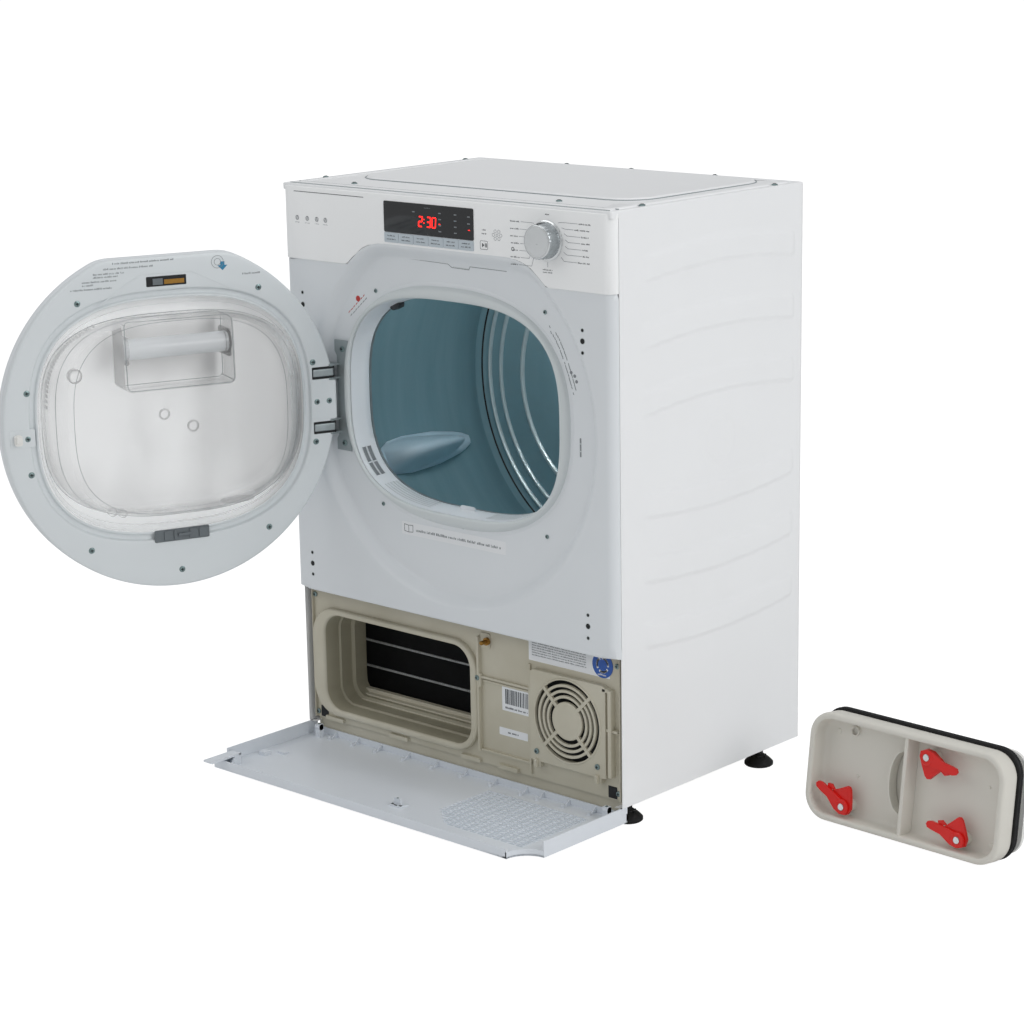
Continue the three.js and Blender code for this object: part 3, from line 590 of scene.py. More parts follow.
def front_panel():
    bm = bmesh.new()
    angles = front_angles()
    rings = []

    def point(t, r, y):
        x, z = RECESS_X + r * math.cos(t), RECESS_Z + r * math.sin(t)
        above = smoothstep((z - PANEL_Z + 1.5) / 3)
        return x, z, y + PANEL_Y * above

    for inset, low, back in ((0, 0, 3), (0.35, 0.4, 1.6), (1.5, 1.3, 0.5), (3.5, 2.6, 0), (6, 4, 0),
                             (9, 5.5, 0), (EDGE_R, 7, 0)):
        ring = []
        for t in angles:
            far = ray_to_box(t, -HALF + inset, HALF - inset, FRONT_Z + low, PANEL_Z - 0.15)
            near = recess_radius(t, 3)
            high = far < near
            x, z, y = point(t, near if high else far, 0)
            if not high:
                y = edge_drop(x) + (back if z < FRONT_Z + 3.5 else 0)
            ring.append((x, y, z))
        rings.append(ring)
    steps = 12
    for grow in (3, 1.2):
        ring = []
        for t in angles:
            x, z, y = point(t, recess_radius(t, grow), 0.0)
            ring.append((x, y, z))
        rings.append(ring)
    for i in range(1, steps + 1):
        u = i / steps
        ring = []
        for t in angles:
            x, z, y0 = point(t, recess_radius(t, 1.2 - (RECESS_RUN + 4) * u), 0)
            ring.append((x, y0 + (RECESS_DEEP - y0) * smoothstep(u), z))
        rings.append(ring)
    inner = []
    for t in angles:
        c, s = math.cos(t), math.sin(t)
        lo_r, hi_r = 100.0, 260.0
        for _ in range(30):
            mid = (lo_r + hi_r) / 2
            x, z = RECESS_X + mid * c - OPEN_X, RECESS_Z + mid * s - OPEN_Z
            if (abs(x) / 208) ** 2.4 + (abs(z) / 165) ** 2.4 > 1:
                hi_r = mid
            else:
                lo_r = mid
        inner.append((RECESS_X + mid * c, RECESS_DEEP, RECESS_Z + mid * s))
    rings.append(inner)
    skin(bm, rings)
    return piece("front_panel_face", bm, "front", "cabinet", replaces="front_panel",
                 sharp=40)


def control_panel():
    bm = bmesh.new()
    xs = [-HALF, -HALF + 0.4, -HALF + 1.5, -HALF + 3.5, -HALF + 6, -HALF + 9, -HALF + EDGE_R]
    xs += [x for x in range(-280, 283, 6)] + [-v for v in reversed(xs)]
    xs = sorted(set(xs))

    def arch(x):
        best = 0
        for i in range(400):
            t = math.pi * (0.12 + 0.76 * i / 399)
            r = recess_radius(t, 3)
            px, pz = RECESS_X + r * math.cos(t), RECESS_Z + r * math.sin(t)
            if abs(px - x) < 1.4:
                best = max(best, pz)
        return best

    def column(x):
        lift = arch(x)
        low = max(PANEL_Z, lift)
        y = PANEL_Y + edge_drop(x)
        bevel = 0.0 if lift > PANEL_Z else 0.9
        return [(x, y + 3.2, low), (x, y + bevel, low), (x, y, low + bevel), (x, y, TOP_Z - 1.4),
                (x, y + 0.4, TOP_Z - 0.4), (x, y + 1.4, TOP_Z), (x, y + 6, TOP_Z)]

    cols = [column(x) for x in xs]
    first = [(p[0], RETURN_Y, p[2]) for p in cols[0]]
    last = [(p[0], RETURN_Y, p[2]) for p in cols[-1]]
    skin(bm, [first] + cols + [last], closed=False)
    return piece("control_panel_face", bm, "panel", "cabinet", replaces="control_panel",
                 sharp=40)


def band_height(y, z):
    """How far the side sheet is pressed out at a place, in millimetres."""
    out = 0.0
    for low, bow in ((722, 12), (636, 12), (549, 12), (418, -11), (331, -11), (243, -11)):
        u = (y - 55) / 328
        if not -0.02 < u < 1.02:
            continue
        arc = low + 4 * bow * u * (1 - u) + (4 if bow < 0 else 0) * u
        z0, z1 = arc, arc + 37
        near_back = min(1, max(0, (383 - y) / 4))
        corner = 10
        if y > 383 - corner:
            cut = corner - math.sqrt(max(0, corner ** 2 - (y - 383 + corner) ** 2))
            z0, z1 = z0 + cut, z1 - cut
        edge = min((z - z0) / 3.2, (z1 - z) / (9 if bow > 0 else 5), near_back)
        fade = smoothstep((y - 52) / 26)
        out = max(out, 2.7 * smoothstep(edge) * fade)
    far = math.hypot(y - 220, z - 497)
    out = max(out, 0.9 * (1 - smoothstep(abs(far - 30) / 3.0)))
    return out


def side_panel(side):
    bm = bmesh.new()
    ys = [RETURN_Y + 0.6, RETURN_Y + 1.1, RETURN_Y + 2.6] + [18 + 3 * i for i in range(127)]
    ys += [SIDE_BACK - 1.5, SIDE_BACK]
    zs = [34, 34.6, 36] + [39 + 3 * i for i in range(260)] + [817.4]
    rows = []
    for z in zs:
        row = [(side * (HALF - 8), SIDE_BACK, z)]
        for y in reversed(ys):
            x = HALF + band_height(y, z) - (1.2 if y > SIDE_BACK - 1 else 0)
            if y < RETURN_Y + 1:
                x -= 0.9
            if y == 18 and z < 738:
                x -= 0.7
            if z < 34.5:
                x -= 0.8
            row.append((side * x, y, z))
        rows.append(row)
    foot_row = [(side * (HALF - 14), p[1], 34) for p in rows[0]]
    skin(bm, [foot_row] + rows, closed=False)
    name = "left" if side < 0 else "right"
    return piece(f"side_sheet_{name}", bm, "enamel", "cabinet", replaces=f"side_panel_{name}",
                 sharp=50)


def top_sheet():
    bm = bmesh.new()

    def rect(inset, z, r):
        pts = round_rect(-HALF + inset, HALF - inset, inset, SIDE_BACK - inset, r, 8)
        return [(x, y, z) for x, y in pts]

    def field(grow, z, r):
        pts = round_rect(-252 - grow, 252 + grow, 98 - grow, 380 + grow, r + grow, 8)
        return [(x, y, z) for x, y in pts]

    skin(bm, [rect(0.3, 811, 3), rect(0, 818.4, 3), rect(0.3, 819.4, 3), rect(1.2, 820, 3), rect(8, 820, 4),
              rect(9.5, 818.8, 5), rect(13, 818.8, 6), rect(14.5, 820.8, 7), rect(17, 821.6, 9),
              rect(20, 821.4, 10),
              rect(21.5, 820.4, 11), field(6, 819.8, 44), field(4, 820.2, 44), field(1.5, 822.4, 44),
              field(0, 822.8, 44), field(-3, 822.6, 44)], cap_last=True)
    piece("top_sheet", bm, "enamel", "cabinet", replaces="top_plate", sharp=24)
    # painted shade: grey tubes along the top sheet's folds and grooves stand in for the shade in them
    bm = bmesh.new()
    for y, z, r in ((7.6, 820.1, 0.8), (25, 820.2, 0.7)):
        tube(bm, [(-289, y, z), (-150, y, z), (0, y, z), (150, y, z), (289, y, z)], r, count=8)
    tube(bm, [(-288, 30, 820.1), (-288, 200, 820.1), (-288, 380, 820.1)], 0.6, count=8)
    tube(bm, field(5, 820.3, 44), 0.75, count=8, closed=True)
    return piece("top_fold_shade_lines", bm, "fold", "cabinet", sharp=80)


def cabinet_screws():
    """Screws on the top, in the recess, on the hinge plate, in the kick area and on the back."""
    bm = bmesh.new()
    for x, y in ((-199, 43), (171, 47), (-291, 77), (-289, 362), (288, 72), (291, 347), (-115, 391),
                 (7, 390),
                 (156, 391)):
        screw_head(bm, (x, y, 820), 4.2, (0, 0, 1))
    for x, z in ((-135, 681), (173, 681), (20, 373), (-132, 383), (171, 383)):
        screw_head(bm, (x, RECESS_DEEP - 0.1, z), 2.9)
    for x, z in ((-201, 594), (-201.5, 461)):
        screw_head(bm, (x, 11.6, z), 4.4)
    for x, z in ((147, 82), (254, 83)):
        screw_head(bm, (x, 14.8, z), 4.0)
    for x, z in ((-286, 48), (284, 50), (283, 225), (-285, 225), (37, 163)):
        screw_head(bm, (x, 22.4 if x != 37 else 17.6, z), 3.8)
    for x in (-240, -80, 80, 240):
        screw_head(bm, (x, SIDE_BACK + 0.2, 806), 4, (0, 1, 0))
        screw_head(bm, (x, SIDE_BACK + 0.2, 48), 4, (0, 1, 0))
    for x in (-286, 286):
        for z in (250, 430, 620):
            screw_head(bm, (x, SIDE_BACK + 0.2, z), 4, (0, 1, 0))
    return piece("cabinet_screws", bm, ("screw", "hole"), "cabinet")


def panel_holes():
    """Fixing holes beside the door opening, and the slot that the door's hook enters."""
    bm = bmesh.new()

    def hole(x, z, r):
        lathe(bm, [(r, -0.25), (r, 0.2)], (x, 0, z), 0, count=20)
        lathe(bm, [(r + 0.9, -0.1), (r + 1.1, 0.15)], (x, 0, z), 1, count=20)

    for x, zs in ((248.5, (667, 653, 638)), (253, (294, 279, 263)), (-264, (295, 279, 263)),
                  (-265, (669, 652))):
        for i, z in enumerate(zs):
            hole(x, z, 3.6 if i == 1 else 2.2)
    piece("panel_holes", bm, ("hole", "trim"), "cabinet")
    bm = bmesh.new()
    # painted shade: the lock slot is a soft grey slab in place of a real opening
    slab(bm, round_rect(229.4, 231.8, 498, 523, 1.1, 4), RECESS_DEEP - 0.3, RECESS_DEEP + 0.6, 0)
    for z in (505, 515):
        slab(bm, round_rect(228.8, 232.4, z, z + 1.2, 0.5, 2), RECESS_DEEP - 0.5, RECESS_DEEP + 0.4, 1)
    return piece("lock_slot", bm, ("ink_soft", "trim"), "cabinet")


def seam_line():
    """The joint between the control panel and the front, across the top of the recess."""
    bm = bmesh.new()
    y = RECESS_DEEP - 0.05
    stroke(bm, [(-106, 731), (2, 729)], 0.7, y)
    stroke(bm, [(2, 729), (9, 725), (40, 724.4), (42, 728.6), (107, 728)], 0.8, y)
    stroke(bm, [(12, 725.8), (39, 725.2)], 1.6, y, 1)
    return piece("panel_seam", bm, ("ink_soft", "trim"), "cabinet")


def opening_trim():
    bm = bmesh.new()
    profile = [(19, 24, 2.4, 15.3), (18.8, 23.6, 2.4, 14.8), (14.4, 17.8, 2.49, 14.5),
               (13.8, 17, 2.5, 13.4),
               (12.6, 15.4, 2.54, 10.8), (10.5, 12.8, 2.6, 8.4), (7, 8.4, 2.75, 6.8), (4, 4.8, 2.86, 6.4),
               (1.8, 2.1, 2.95, 7.0),
               (0.5, 0.5, 3, 8.4), (0.2, 0.2, 3, 10), (1.4, 1.4, 3, 10.3), (1.4, 1.4, 3, 11.2),
               (0, 0, 3, 11.6),
               (-0.6, -0.6, 3, 14), (-2.2, -2.2, 3, 34), (-2.8, -2.8, 3, 44.4), (-1.6, -1.6, 3, 45.6),
               (0, 0, 3, 45.6)]
    rings = [at_depth(superellipse(OPEN_A + a, OPEN_B + b, n, OPEN_X, OPEN_Z, 176), y)
             for a, b, n, y in profile]
    skin(bm, rings)
    obj = piece("opening_trim_face", bm, ("trim", "throat", "gasket", "front"), "cabinet",
                replaces="opening_trim",
                sharp=50)
    for f in obj.data.polygons:
        deep = (f.center.y - SHIFT.y) / MM
        across, up = (f.center.x - SHIFT.x) / MM - OPEN_X, f.center.z / MM - OPEN_Z
        inner = (abs(across) / (OPEN_A + 5)) ** 3 + (abs(up) / (OPEN_B + 5)) ** 3 < 1
        if inner:
            f.material_index = 1 if deep > 11.3 else 2 if deep > 10.05 else 0
        else:
            f.material_index = 3 if deep > 14.1 else 0
    return obj


def throat_patch(t0, t1, y0, y1, lift, m, bm):
    """A strip that lies on the throat wall between two angles and two depths."""
    rows = []
    steps = 6
    for k in range(steps + 1):
        t = math.radians(t0 + (t1 - t0) * k / steps)
        c, s = math.cos(t), math.sin(t)
        row = []
        for y in (y0, y1):
            sink = 0.6 + 1.6 * (y - 14) / 20 + lift
            a, b = OPEN_A - sink, OPEN_B - sink
            row.append((OPEN_X + a * math.copysign(abs(c) ** (2 / 3), c), y,
                        OPEN_Z + b * math.copysign(abs(s) ** (2 / 3), s)))
        rows.append(row)
    skin(bm, rows, m, closed=False)


def throat_details():
    """Vent slots and moulded ribs on the throat, and the dark lamp housing at its upper left."""
    bm = bmesh.new()
    for t0, t1 in ((203, 213), (214, 224)):
        for y0, y1 in ((18, 24.5), (27, 33.5)):
            # painted shade: the vent slots are grey patches on the throat wall
            throat_patch(t0, t1, y0, y1, 0.25, 0, bm)
            for y in (y0 - 0.5, y1 - 0.2):
                throat_patch(t0 - 0.3, t1 + 0.3, y, y + 0.7, 0.45, 1, bm)
    slab(bm, [(-124 + 0.91 * a + 0.41 * b, 661 + 0.41 * a - 0.91 * b) for a, b in
              ((-9, -1), (9, -1), (9, 4), (6, 7.5), (-6, 7.5), (-9, 4))], 38, 49, 2)
    for y in (18, 23, 28, 33, 38):
        throat_patch(232, 262, y, y + 1.0, 0.5, 1, bm)
        throat_patch(278, 306, y, y + 1.0, 0.5, 1, bm)
    return piece("throat_vents", bm, ("ink_soft", "trim", "dark"), "cabinet",
                 recalc=False, thick=0.3)


def lint_filter():
    bm = bmesh.new()
    x, y, half, top, bottom = 7, 39, 78, 391, 318
    skin(bm, frame_of(round_rect(x - half, x + half, bottom, top - 4, 5), round_rect(
        x - half + 8, x + half - 8, bottom + 8, top - 14, 3), y - 1.9, y + 1.9), looped=True)
    block(bm, x - 2.5, x + 2.5, y - 1.6, y + 1.6, bottom + 4, top - 12)
    slab(bm, round_rect(x - 14, x + 14, top - 7, top + 4.5, 4), y - 1.8, y + 0.8)
    obj = piece("filter_frame", bm, "throat", "filter", replaces="lint_filter",
                bevel=0.5)
    bm = bmesh.new()
    for i in range(36):
        px = x - half + 8 + (2 * half - 16) * (i + 0.5) / 36
        block(bm, px - 0.3, px + 0.3, y - 0.3, y + 0.3, bottom + 7, top - 13)
    for i in range(14):
        pz = bottom + 8 + (top - bottom - 22) * (i + 0.5) / 14
        block(bm, x - half + 7, x + half - 7, y - 0.25, y + 0.25, pz - 0.3, pz + 0.3)
    piece("filter_mesh", bm, "dark_grey", "filter")
    return obj


# ---- drum -----------------------------------------------------------------------------------------
def drum():
    bm = bmesh.new()
    r, y0, y1 = DRUM_R, 54, 372
    lathe(bm, [(r - 9, y0 + 0.6), (r - 4, y0), (r, y0 + 3), (r, 120), (r, 124), (r, y1 - 3), (r - 3, y1),
               (9, y1),
               (9, y1 + 20), (0.5, y1 + 20)], DRUM_AXIS, 0, count=128, tip=False)
    lathe(bm, [(r - 9, y0 + 0.6), (r - 1.6, y0 + 2.4), (r - 1.6, 300), (r - 1.6, 352), (r - 0.9, 353),
               (r - 0.9, 356), (r - 1.6, 357), (r - 1.6, y1 - 4), (r - 4, y1 - 1.7), (262, y1 - 1.7),
               (160, y1 - 1.7), (150, y1 - 6), (60, y1 - 6), (50, y1 - 4), (0.5, y1 - 4)],
          DRUM_AXIS, 0, count=128, tip=False)
    obj = piece("drum_skin", bm, "drum", "drum", replaces="drum_shell", sharp=50)
    bm = bmesh.new()
    for radius, width in ((254, 3.4), (232, 3.6), (189, 4.2)):
        lathe(bm, [(radius - width, y1 - 1.5), (radius - width * 0.6, y1 - 4.6), (radius, y1 - 5.8),
                   (radius + width * 0.6, y1 - 4.6), (radius + width, y1 - 1.5)], DRUM_AXIS, 0, count=128,
              tip=False)
    piece("drum_back_beads", bm, "drum_bead", "drum", sharp=60)
    bm = bmesh.new()
    lathe(bm, [(r - 1.9, y1 - 5.2), (r - 2.2, y1 - 4.6), (r - 3.4, y1 - 3.2), (r - 3.0, y1 - 2.6)],
          DRUM_AXIS, 0,
          count=128, tip=False)
    piece("drum_back_seam", bm, "hole", "drum", sharp=60)
    return obj


def lifter(index, angle):
    bm = bmesh.new()
    t = math.radians(angle)
    out, across = Vector((math.cos(t), 0, math.sin(t))), Vector((-math.sin(t), 0, math.cos(t)))
    centre = Vector(DRUM_AXIS)
    seat = DRUM_R - 5

    def section(y, height, width, foot):
        pts = []
        n = 24
        for i in range(n + 1):
            u = -1 + 2 * i / n
            rise = height * (1 - abs(u) ** 2.2) ** 1.4
            pts.append(centre + across * (u * width) + out * (seat - foot - rise) + Vector((0, y, 0)))
        base = [centre + across * width + out * (seat + 0.5) + Vector((0, y, 0)),
                centre - across * width + out * (seat + 0.5) + Vector((0, y, 0))]
        return pts + base

    rings = []
    for y, h, w, f in ((131, 1, 10, 1), (134, 8, 15, 3), (140, 20, 20, 4), (150, 34, 23, 5),
                       (166, 43, 25, 5),
                       (190, 47, 24, 5), (216, 46, 21, 5), (238, 42, 18, 5), (256, 38, 16, 5),
                       (266, 33, 14, 5),
                       (271, 22, 12, 4), (274, 6, 8, 2)):
        rings.append(section(y, h, w, f))
    skin(bm, rings, cap_first=True, cap_last=True)
    flange = []
    for y, w in ((129, 8), (134, 18), (148, 25), (180, 28), (240, 25), (286, 17), (300, 13), (309, 8)):
        flange.append([centre + across * (k * w) + out * (seat - 6 * (1 - abs(k) ** 6)) + Vector((0, y, 0))
                       for k in (-1, -0.94, -0.7, 0, 0.7, 0.94, 1)])
    skin(bm, flange, closed=False)
    return piece(f"lifter_body_{index}", bm, "lifter", "drum", replaces=f"lifter_{index}",
                 sharp=60)


# ---- controls -------------------------------------------------------------------------------------
SEGMENTS = {
    "a": ((0.12, 1), (0.88, 1)), "b": ((1, 0.95), (1, 0.55)), "c": ((1, 0.45), (1, 0.05)),
    "d": ((0.12, 0), (0.88, 0)), "e": ((0, 0.45), (0, 0.05)), "f": ((0, 0.95), (0, 0.55)),
    "g": ((0.12, 0.5), (0.88, 0.5)),
}
DIGITS = {"2": "abged", "3": "abgcd", "0": "abcdef"}


def label_marks(bm, x, z, width, y, rows=1, m=0, size=1.5):
    """Rows of small stems and bars that read as print from a distance and spell nothing."""
    stem = 0.24 * size
    for r in range(rows):
        at, low, left = x, z - r * size * 1.9, rng.randint(3, 8)
        while at < x + width - 0.6 * size:
            tall = size * rng.choice((0.72, 0.72, 1.0))
            wide = size * rng.uniform(0.42, 0.58)
            block(bm, at, at + stem, y - 0.06, y + 0.05, low, low + tall, m)
            if rng.random() < 0.7:
                block(bm, at + wide - stem, at + wide, y - 0.06, y + 0.05, low, low + tall, m)
            level = low + rng.choice((0, 0.4, 0.8)) * (tall - stem)
            block(bm, at + stem, at + wide, y - 0.06, y + 0.05, level, level + stem, m)
            at += wide + 0.24 * size
            left -= 1
            if left == 0:
                at += 0.55 * size
                left = rng.randint(3, 8)


def display():
    bm = bmesh.new()
    slab(bm, round_rect(-98, 66, 766.8, 808.5, 2.2, 5), -3.0, -1.2)
    piece("display_glass_face", bm, "glass", "cabinet", replaces="display_window",
          bevel=0.4)
    bm = bmesh.new()
    x = -33.0
    for ch, wide in (("2", 6.4), (":", 3.0), ("3", 6.4), ("0", 6.4)):
        if ch == ":":
            for z in (782.6, 787.4):
                block(bm, x + 0.2, x + 1.6, -3.1, -2.9, z, z + 1.5)
        else:
            for seg in DIGITS[ch]:
                (ax, az), (bx, bz) = SEGMENTS[seg]
                lean = 0.08
                p = [(x + u * wide + (v * 13) * lean, 778.5 + v * 13) for u, v in ((ax, az), (bx, bz))]
                stroke(bm, p, 1.5, -3.0, 0, 0.1)
        x += wide + 2.9
    piece("display_digits", bm, "led", "cabinet")
    bm = bmesh.new()
    for px, pz in ((6, 798), (6, 790), (6, 782), (6, 774), (34, 798), (34, 790), (34, 782), (34, 774),
                   (58, 797),
                   (58, 788), (-42, 797)):
        block(bm, px - 2.4, px + 2.4, -3.08, -2.95, pz - 0.6, pz + 0.8)
    label_marks(bm, -22, 803, 11, -3.04, 1, 0, 1.3)
    block(bm, 4, 7, -3.1, -2.9, 783.4, 784.2, 1)
    block(bm, 57, 60, -3.1, -2.9, 779.4, 780.2, 1)
    piece("display_marks", bm, ("ink_soft", "led"), "cabinet")


def keys():
    pitch = 164 / 6
    for i in range(6):
        x = -98 + i * pitch
        bm = bmesh.new()
        slab(bm, round_rect(x + 0.35, x + pitch - 0.35, 753, 766.3, 1.2, 3), -3, 4, 0)
        for w, z in ((14, 761.2), (17, 756.6)):
            label_marks(bm, x + (pitch - w) / 2, z, w, -3.02, 1, 1, 1.8)
        piece(f"key_cap_{i + 1}", bm, ("key", "ink"), f"button_{i + 1}", replaces=f"key_{i + 1}",
              bevel=0.35)
    bm = bmesh.new()
    slab(bm, round_rect(77.2, 91.8, 756.2, 768.8, 1.6, 4), -3, 4, 0)
    stroke(bm, round_rect(78, 91, 757, 768, 1.6, 3), 0.55, -3.0, 1, closed=True)
    slab(bm, [(81.3, 759.6), (81.3, 765.4), (85.3, 762.5)], -3.15, -2.9, 1)
    for px in (86.3, 88.5):
        block(bm, px, px + 1.2, -3.15, -2.9, 759.8, 765.2, 1)
    piece("start_cap", bm, ("panel", "ink"), "start_button", replaces="start_key",
          bevel=0.35)


def panel_print():
    bm = bmesh.new()
    y = PANEL_Y - 0.02
    stroke(bm, [(-273, 810), (-137, 810)], 0.9, y, 0)
    for x in (-268, -248, -229, -212):
        stroke(bm, circle(x, 773.5, 3.0, 14), 0.7, y, 1, closed=True)
        stroke(bm, [(x - 1.6, 772.4), (x, 776), (x + 1.6, 772.4)], 0.7, y, 1, closed=True)
        label_marks(bm, x - 4.4, 766.8, 9, y, 1, 1, 0.9)
    for z, w in ((781.5, 8), (776.5, 9)):
        label_marks(bm, 84.5 - w / 2, z, w, y, 1, 0, 1.9)
    for k in range(6):
        t = math.radians(60 * k)
        stroke(bm, circle(107 + 6.5 * math.cos(t), 777 + 5.5 * math.sin(t), 2.2, 8), 0.45, y, 1,
               closed=True)
    stroke(bm, circle(107, 777, 1.8, 8), 0.5, y, 1, closed=True)
    left = [(130, 797.5, 17), (130, 788.0, 15), (130, 778.5, 13), (131, 769.5, 14), (134, 760.5, 10),
            (130, 751.5, 16), (130, 742.0, 13)]
    for i, (x, z, w) in enumerate(left):
        label_marks(bm, x, z - 0.9, w, y, 1, 0, 1.9)
        t = math.radians(138 + i * 14)
        tip = (KNOB_X + 30 * math.cos(t), KNOB_Z + 30 * math.sin(t))
        stroke(bm, [(x + w + 1.5, z), (max(x + w + 3, tip[0] - 5), z), tip], 0.5, y, 1)
    stroke(bm, circle(134, 761.4, 2.2, 10), 0.9, y, 0, closed=True)
    right = [(246, 801.5, 20), (239, 793.5, 26), (250, 785.0, 13), (250, 777.0, 14), (251, 769.0, 12),
             (252, 761.0, 11), (244, 752.5, 20)]
    for i, (x, z, w) in enumerate(right):
        label_marks(bm, x, z - 0.9, w, y, 1, 0, 1.9)
        t = math.radians(52 - i * 15.5)
        tip = (KNOB_X + 30 * math.cos(t), KNOB_Z + 30 * math.sin(t))
        stroke(bm, [(x - 1.5, z), (min(x - 3, tip[0] + 5), z), tip], 0.5, y, 1)
    label_marks(bm, 190, 809.2, 8, y, 1, 0, 1.8)
    stroke(bm, [(193.5, 749), (193.5, 743)], 0.5, y, 1)
    label_marks(bm, 185, 738.5, 17, y, 2, 0, 1.7)
    return piece("panel_print", bm, ("ink", "ink_soft"), "cabinet")


def knob():
    cx, cz = KNOB_X, KNOB_Z
    bm = bmesh.new()
    lathe(bm, [(5, 7.5), (5, -2.4), (25.6, -2.4), (26.2, -3.2), (25.8, -4.8), (24.4, -5.4), (23.2, -5.6)],
          (cx, 0, cz), 0, count=72)
    rings = []
    for y, r in ((-5.4, 23.4), (-8, 23.2), (-21.2, 22.4), (-22.2, 21.9)):
        ring = []
        for i in range(180):
            t = 2 * math.pi * i / 180
            flute = 0.42 * (0.5 + 0.5 * math.cos(36 * t)) if y < -6 else 0
            rr = r - flute
            ring.append((cx + rr * math.cos(t), y, cz + rr * math.sin(t)))
        rings.append(ring)
    skin(bm, rings, 1)
    lathe(bm, [(21.9, -22.2), (21.2, -23.2), (20.2, -23.5), (19.6, -23.2)], (cx, 0, cz), 0, count=72,
          tip=False)
    lathe(bm, [(19.6, -23.2), (17, -23.4), (9, -23.8), (0.4, -24)], (cx, 0, cz), 2, count=72)
    block(bm, cx - 0.8, cx + 0.8, -21.6, -7, cz + 22.2, cz + 23.4, 3)
    return piece("knob_body", bm, ("chrome", "knob_side", "knob", "dark"), "dial",
                 replaces="programme_knob",
                 sharp=45)


# ---- labels on the front --------------------------------------------------------------------------
def front_labels():
    bm = bmesh.new()
    y = RECESS_DEEP - 0.1
    slab(bm, round_rect(-97, 97, 346, 364, 1.5, 3), y - 0.05, y + 0.3, 0)
    label_marks(bm, -70, 352.6, 160, y - 0.1, 1, 1, 3.6)
    for side in (-1, 1):
        stroke(bm, [(-84, 350), (-84 + side * 8, 350.8), (-84 + side * 8, 360.6), (-84, 359.6)], 0.7,
               y - 0.05, 2,
               closed=True)
    piece("front_label", bm, ("label", "ink_soft", "ink"), "cabinet")
    bm = bmesh.new()
    lathe(bm, [(4.2, -0.15), (4.2, 0.1)], (-170, RECESS_DEEP, 667), 0, count=20)
    for k in range(2):
        for i in range(7):
            t = i / 7
            x, z = -189 + 34 * t + 4 * k, 646 + 29 * t - 4 * k
            stroke(bm, [(x, z), (x + rng.uniform(2.0, 3.6), z + 2.6)], 1.1, y, k)
    piece("hinge_side_print", bm, ("ink_red", "ink_soft"), "cabinet")
    bm = bmesh.new()
    for k in range(2):
        for i in range(22):
            t = i / 21
            x, z = 175 + 44 * t ** 0.6 + 5 * k, 661 - 80 * t + 3 * k
            if (i * 7 + k * 3) % 10 == 0:
                continue
            stroke(bm, [(x, z), (x + 1.2, z - rng.uniform(2.2, 3.8))], 1.1, y, 0)
    for x, z in ((216, 607), (222, 603), (225, 596)):
        lathe(bm, [(2.3, -0.2), (2.3, 0.1)], (x, RECESS_DEEP, z), 0, count=12)
    return piece("lock_side_print", bm, ("ink_soft",), "cabinet")


# ---- hinge ----------------------------------------------------------------------------------------
def hinge():
    bm = bmesh.new()
    outline = [(-217, 450), (-190, 450), (-190, 468), (-193, 474), (-193, 582), (-190, 588), (-190, 606),
               (-217, 606), (-217, 590), (-213, 584), (-213, 472), (-217, 466)]
    slab(bm, outline, 11.6, 14.4)
    for z in HINGE_Z:
        for side in (-1, 1):
            z0 = z + side * 9.4 - 1.4
            block(bm, -223, -208, -6.5, 13, z0, z0 + 2.8)
        lathe(bm, [(3, -12), (3, 12)], (HINGE_X, HINGE_Y, z), axis="Z", count=20)
    piece("hinge_plate_body", bm, "zinc_grey", "cabinet", replaces="hinge_plate",
          bevel=0.6)
    bm = bmesh.new()
    for z in HINGE_Z:
        pts = []
        for i in range(9):
            t = math.radians(200 - 165 * i / 8)
            pts.append((HINGE_X + 7.2 * math.cos(t), HINGE_Y + 7.2 * math.sin(t)))
        outer = pts + [(-207, -1), (-188, -1), (-188, -5.5), (-206, -6), (-212, -9.6)]
        rings = [[(x, y, z + dz) for x, y in outer] for dz in (-6.6, 6.6)]
        skin(bm, rings, cap_first=True, cap_last=True)
    block(bm, -200, -188.6, -6, -3.5, 470, 580)
    return piece("hinge_arm_pair", bm, "zinc", "door", place=DOOR, replaces="hinge_arms",
                 bevel=1.0, segments=3)


# ---- door -----------------------------------------------------------------------------------------
DX, DZ = RECESS_X, RECESS_Z


def door_outline(drop):
    return flat_top(236 - drop, 219 - drop, DX, DZ, 176, 5)


def door_shell():
    bm = bmesh.new()
    rings = [at_depth(door_outline(d), y) for d, y in (
        (3.2, -6.6), (0.6, -6.6), (0, -8), (0, -20), (0.8, -22.6), (3.2, -25), (8, -27), (16, -28),
        (60, -28.6),
        (120, -29), (170, -29.2))]
    skin(bm, rings, cap_last=True)
    rings = [at_depth(door_outline(d), y) for d, y in ((3.2, -6.6), (3.2, -20), (9, -24), (20, -25.5))]
    skin(bm, rings, 1, cap_last=True)
    return piece("door_shell", bm, ("front", "door_inside"), "door", place=DOOR, replaces="door_outer",
                 sharp=40)


def door_ring():
    bm = bmesh.new()
    count = 176
    inner = superellipse(196, 168, 2.7, DX, 526, count)
    rings = [(door_outline(0.8), -6.4), (door_outline(0.6), 1.8), (door_outline(1.1), 3.6),
             (door_outline(2.4), 4.6), (door_outline(4.2), 5)]
    rows = [at_depth(p, y) for p, y in rings]
    outer = door_outline(4.2)
    for k in (0.3, 0.62):
        rows.append([(o[0] * (1 - k) + i[0] * k, 5, o[1] * (1 - k) + i[1] * k)
                     for o, i in zip(outer, inner)])
    for a, y in ((5.5, 5), (4.2, 4.7), (3.2, 3.8), (2.6, 2.6), (2.2, 0.2), (1.2, -0.6), (-3.2, -0.8),
                 (-4.2, -0.3),
                 (-4.6, 0.8), (-5.2, 2.2), (-6.4, 2.8), (-8, 2.6)):
        rows.append(at_depth(superellipse(196 + a, 168 + a, 2.7, DX, 526, count), y))
    skin(bm, rows)
    return piece("door_ring_face", bm, "ring", "door", place=DOOR, replaces="door_ring",
                sharp=60)


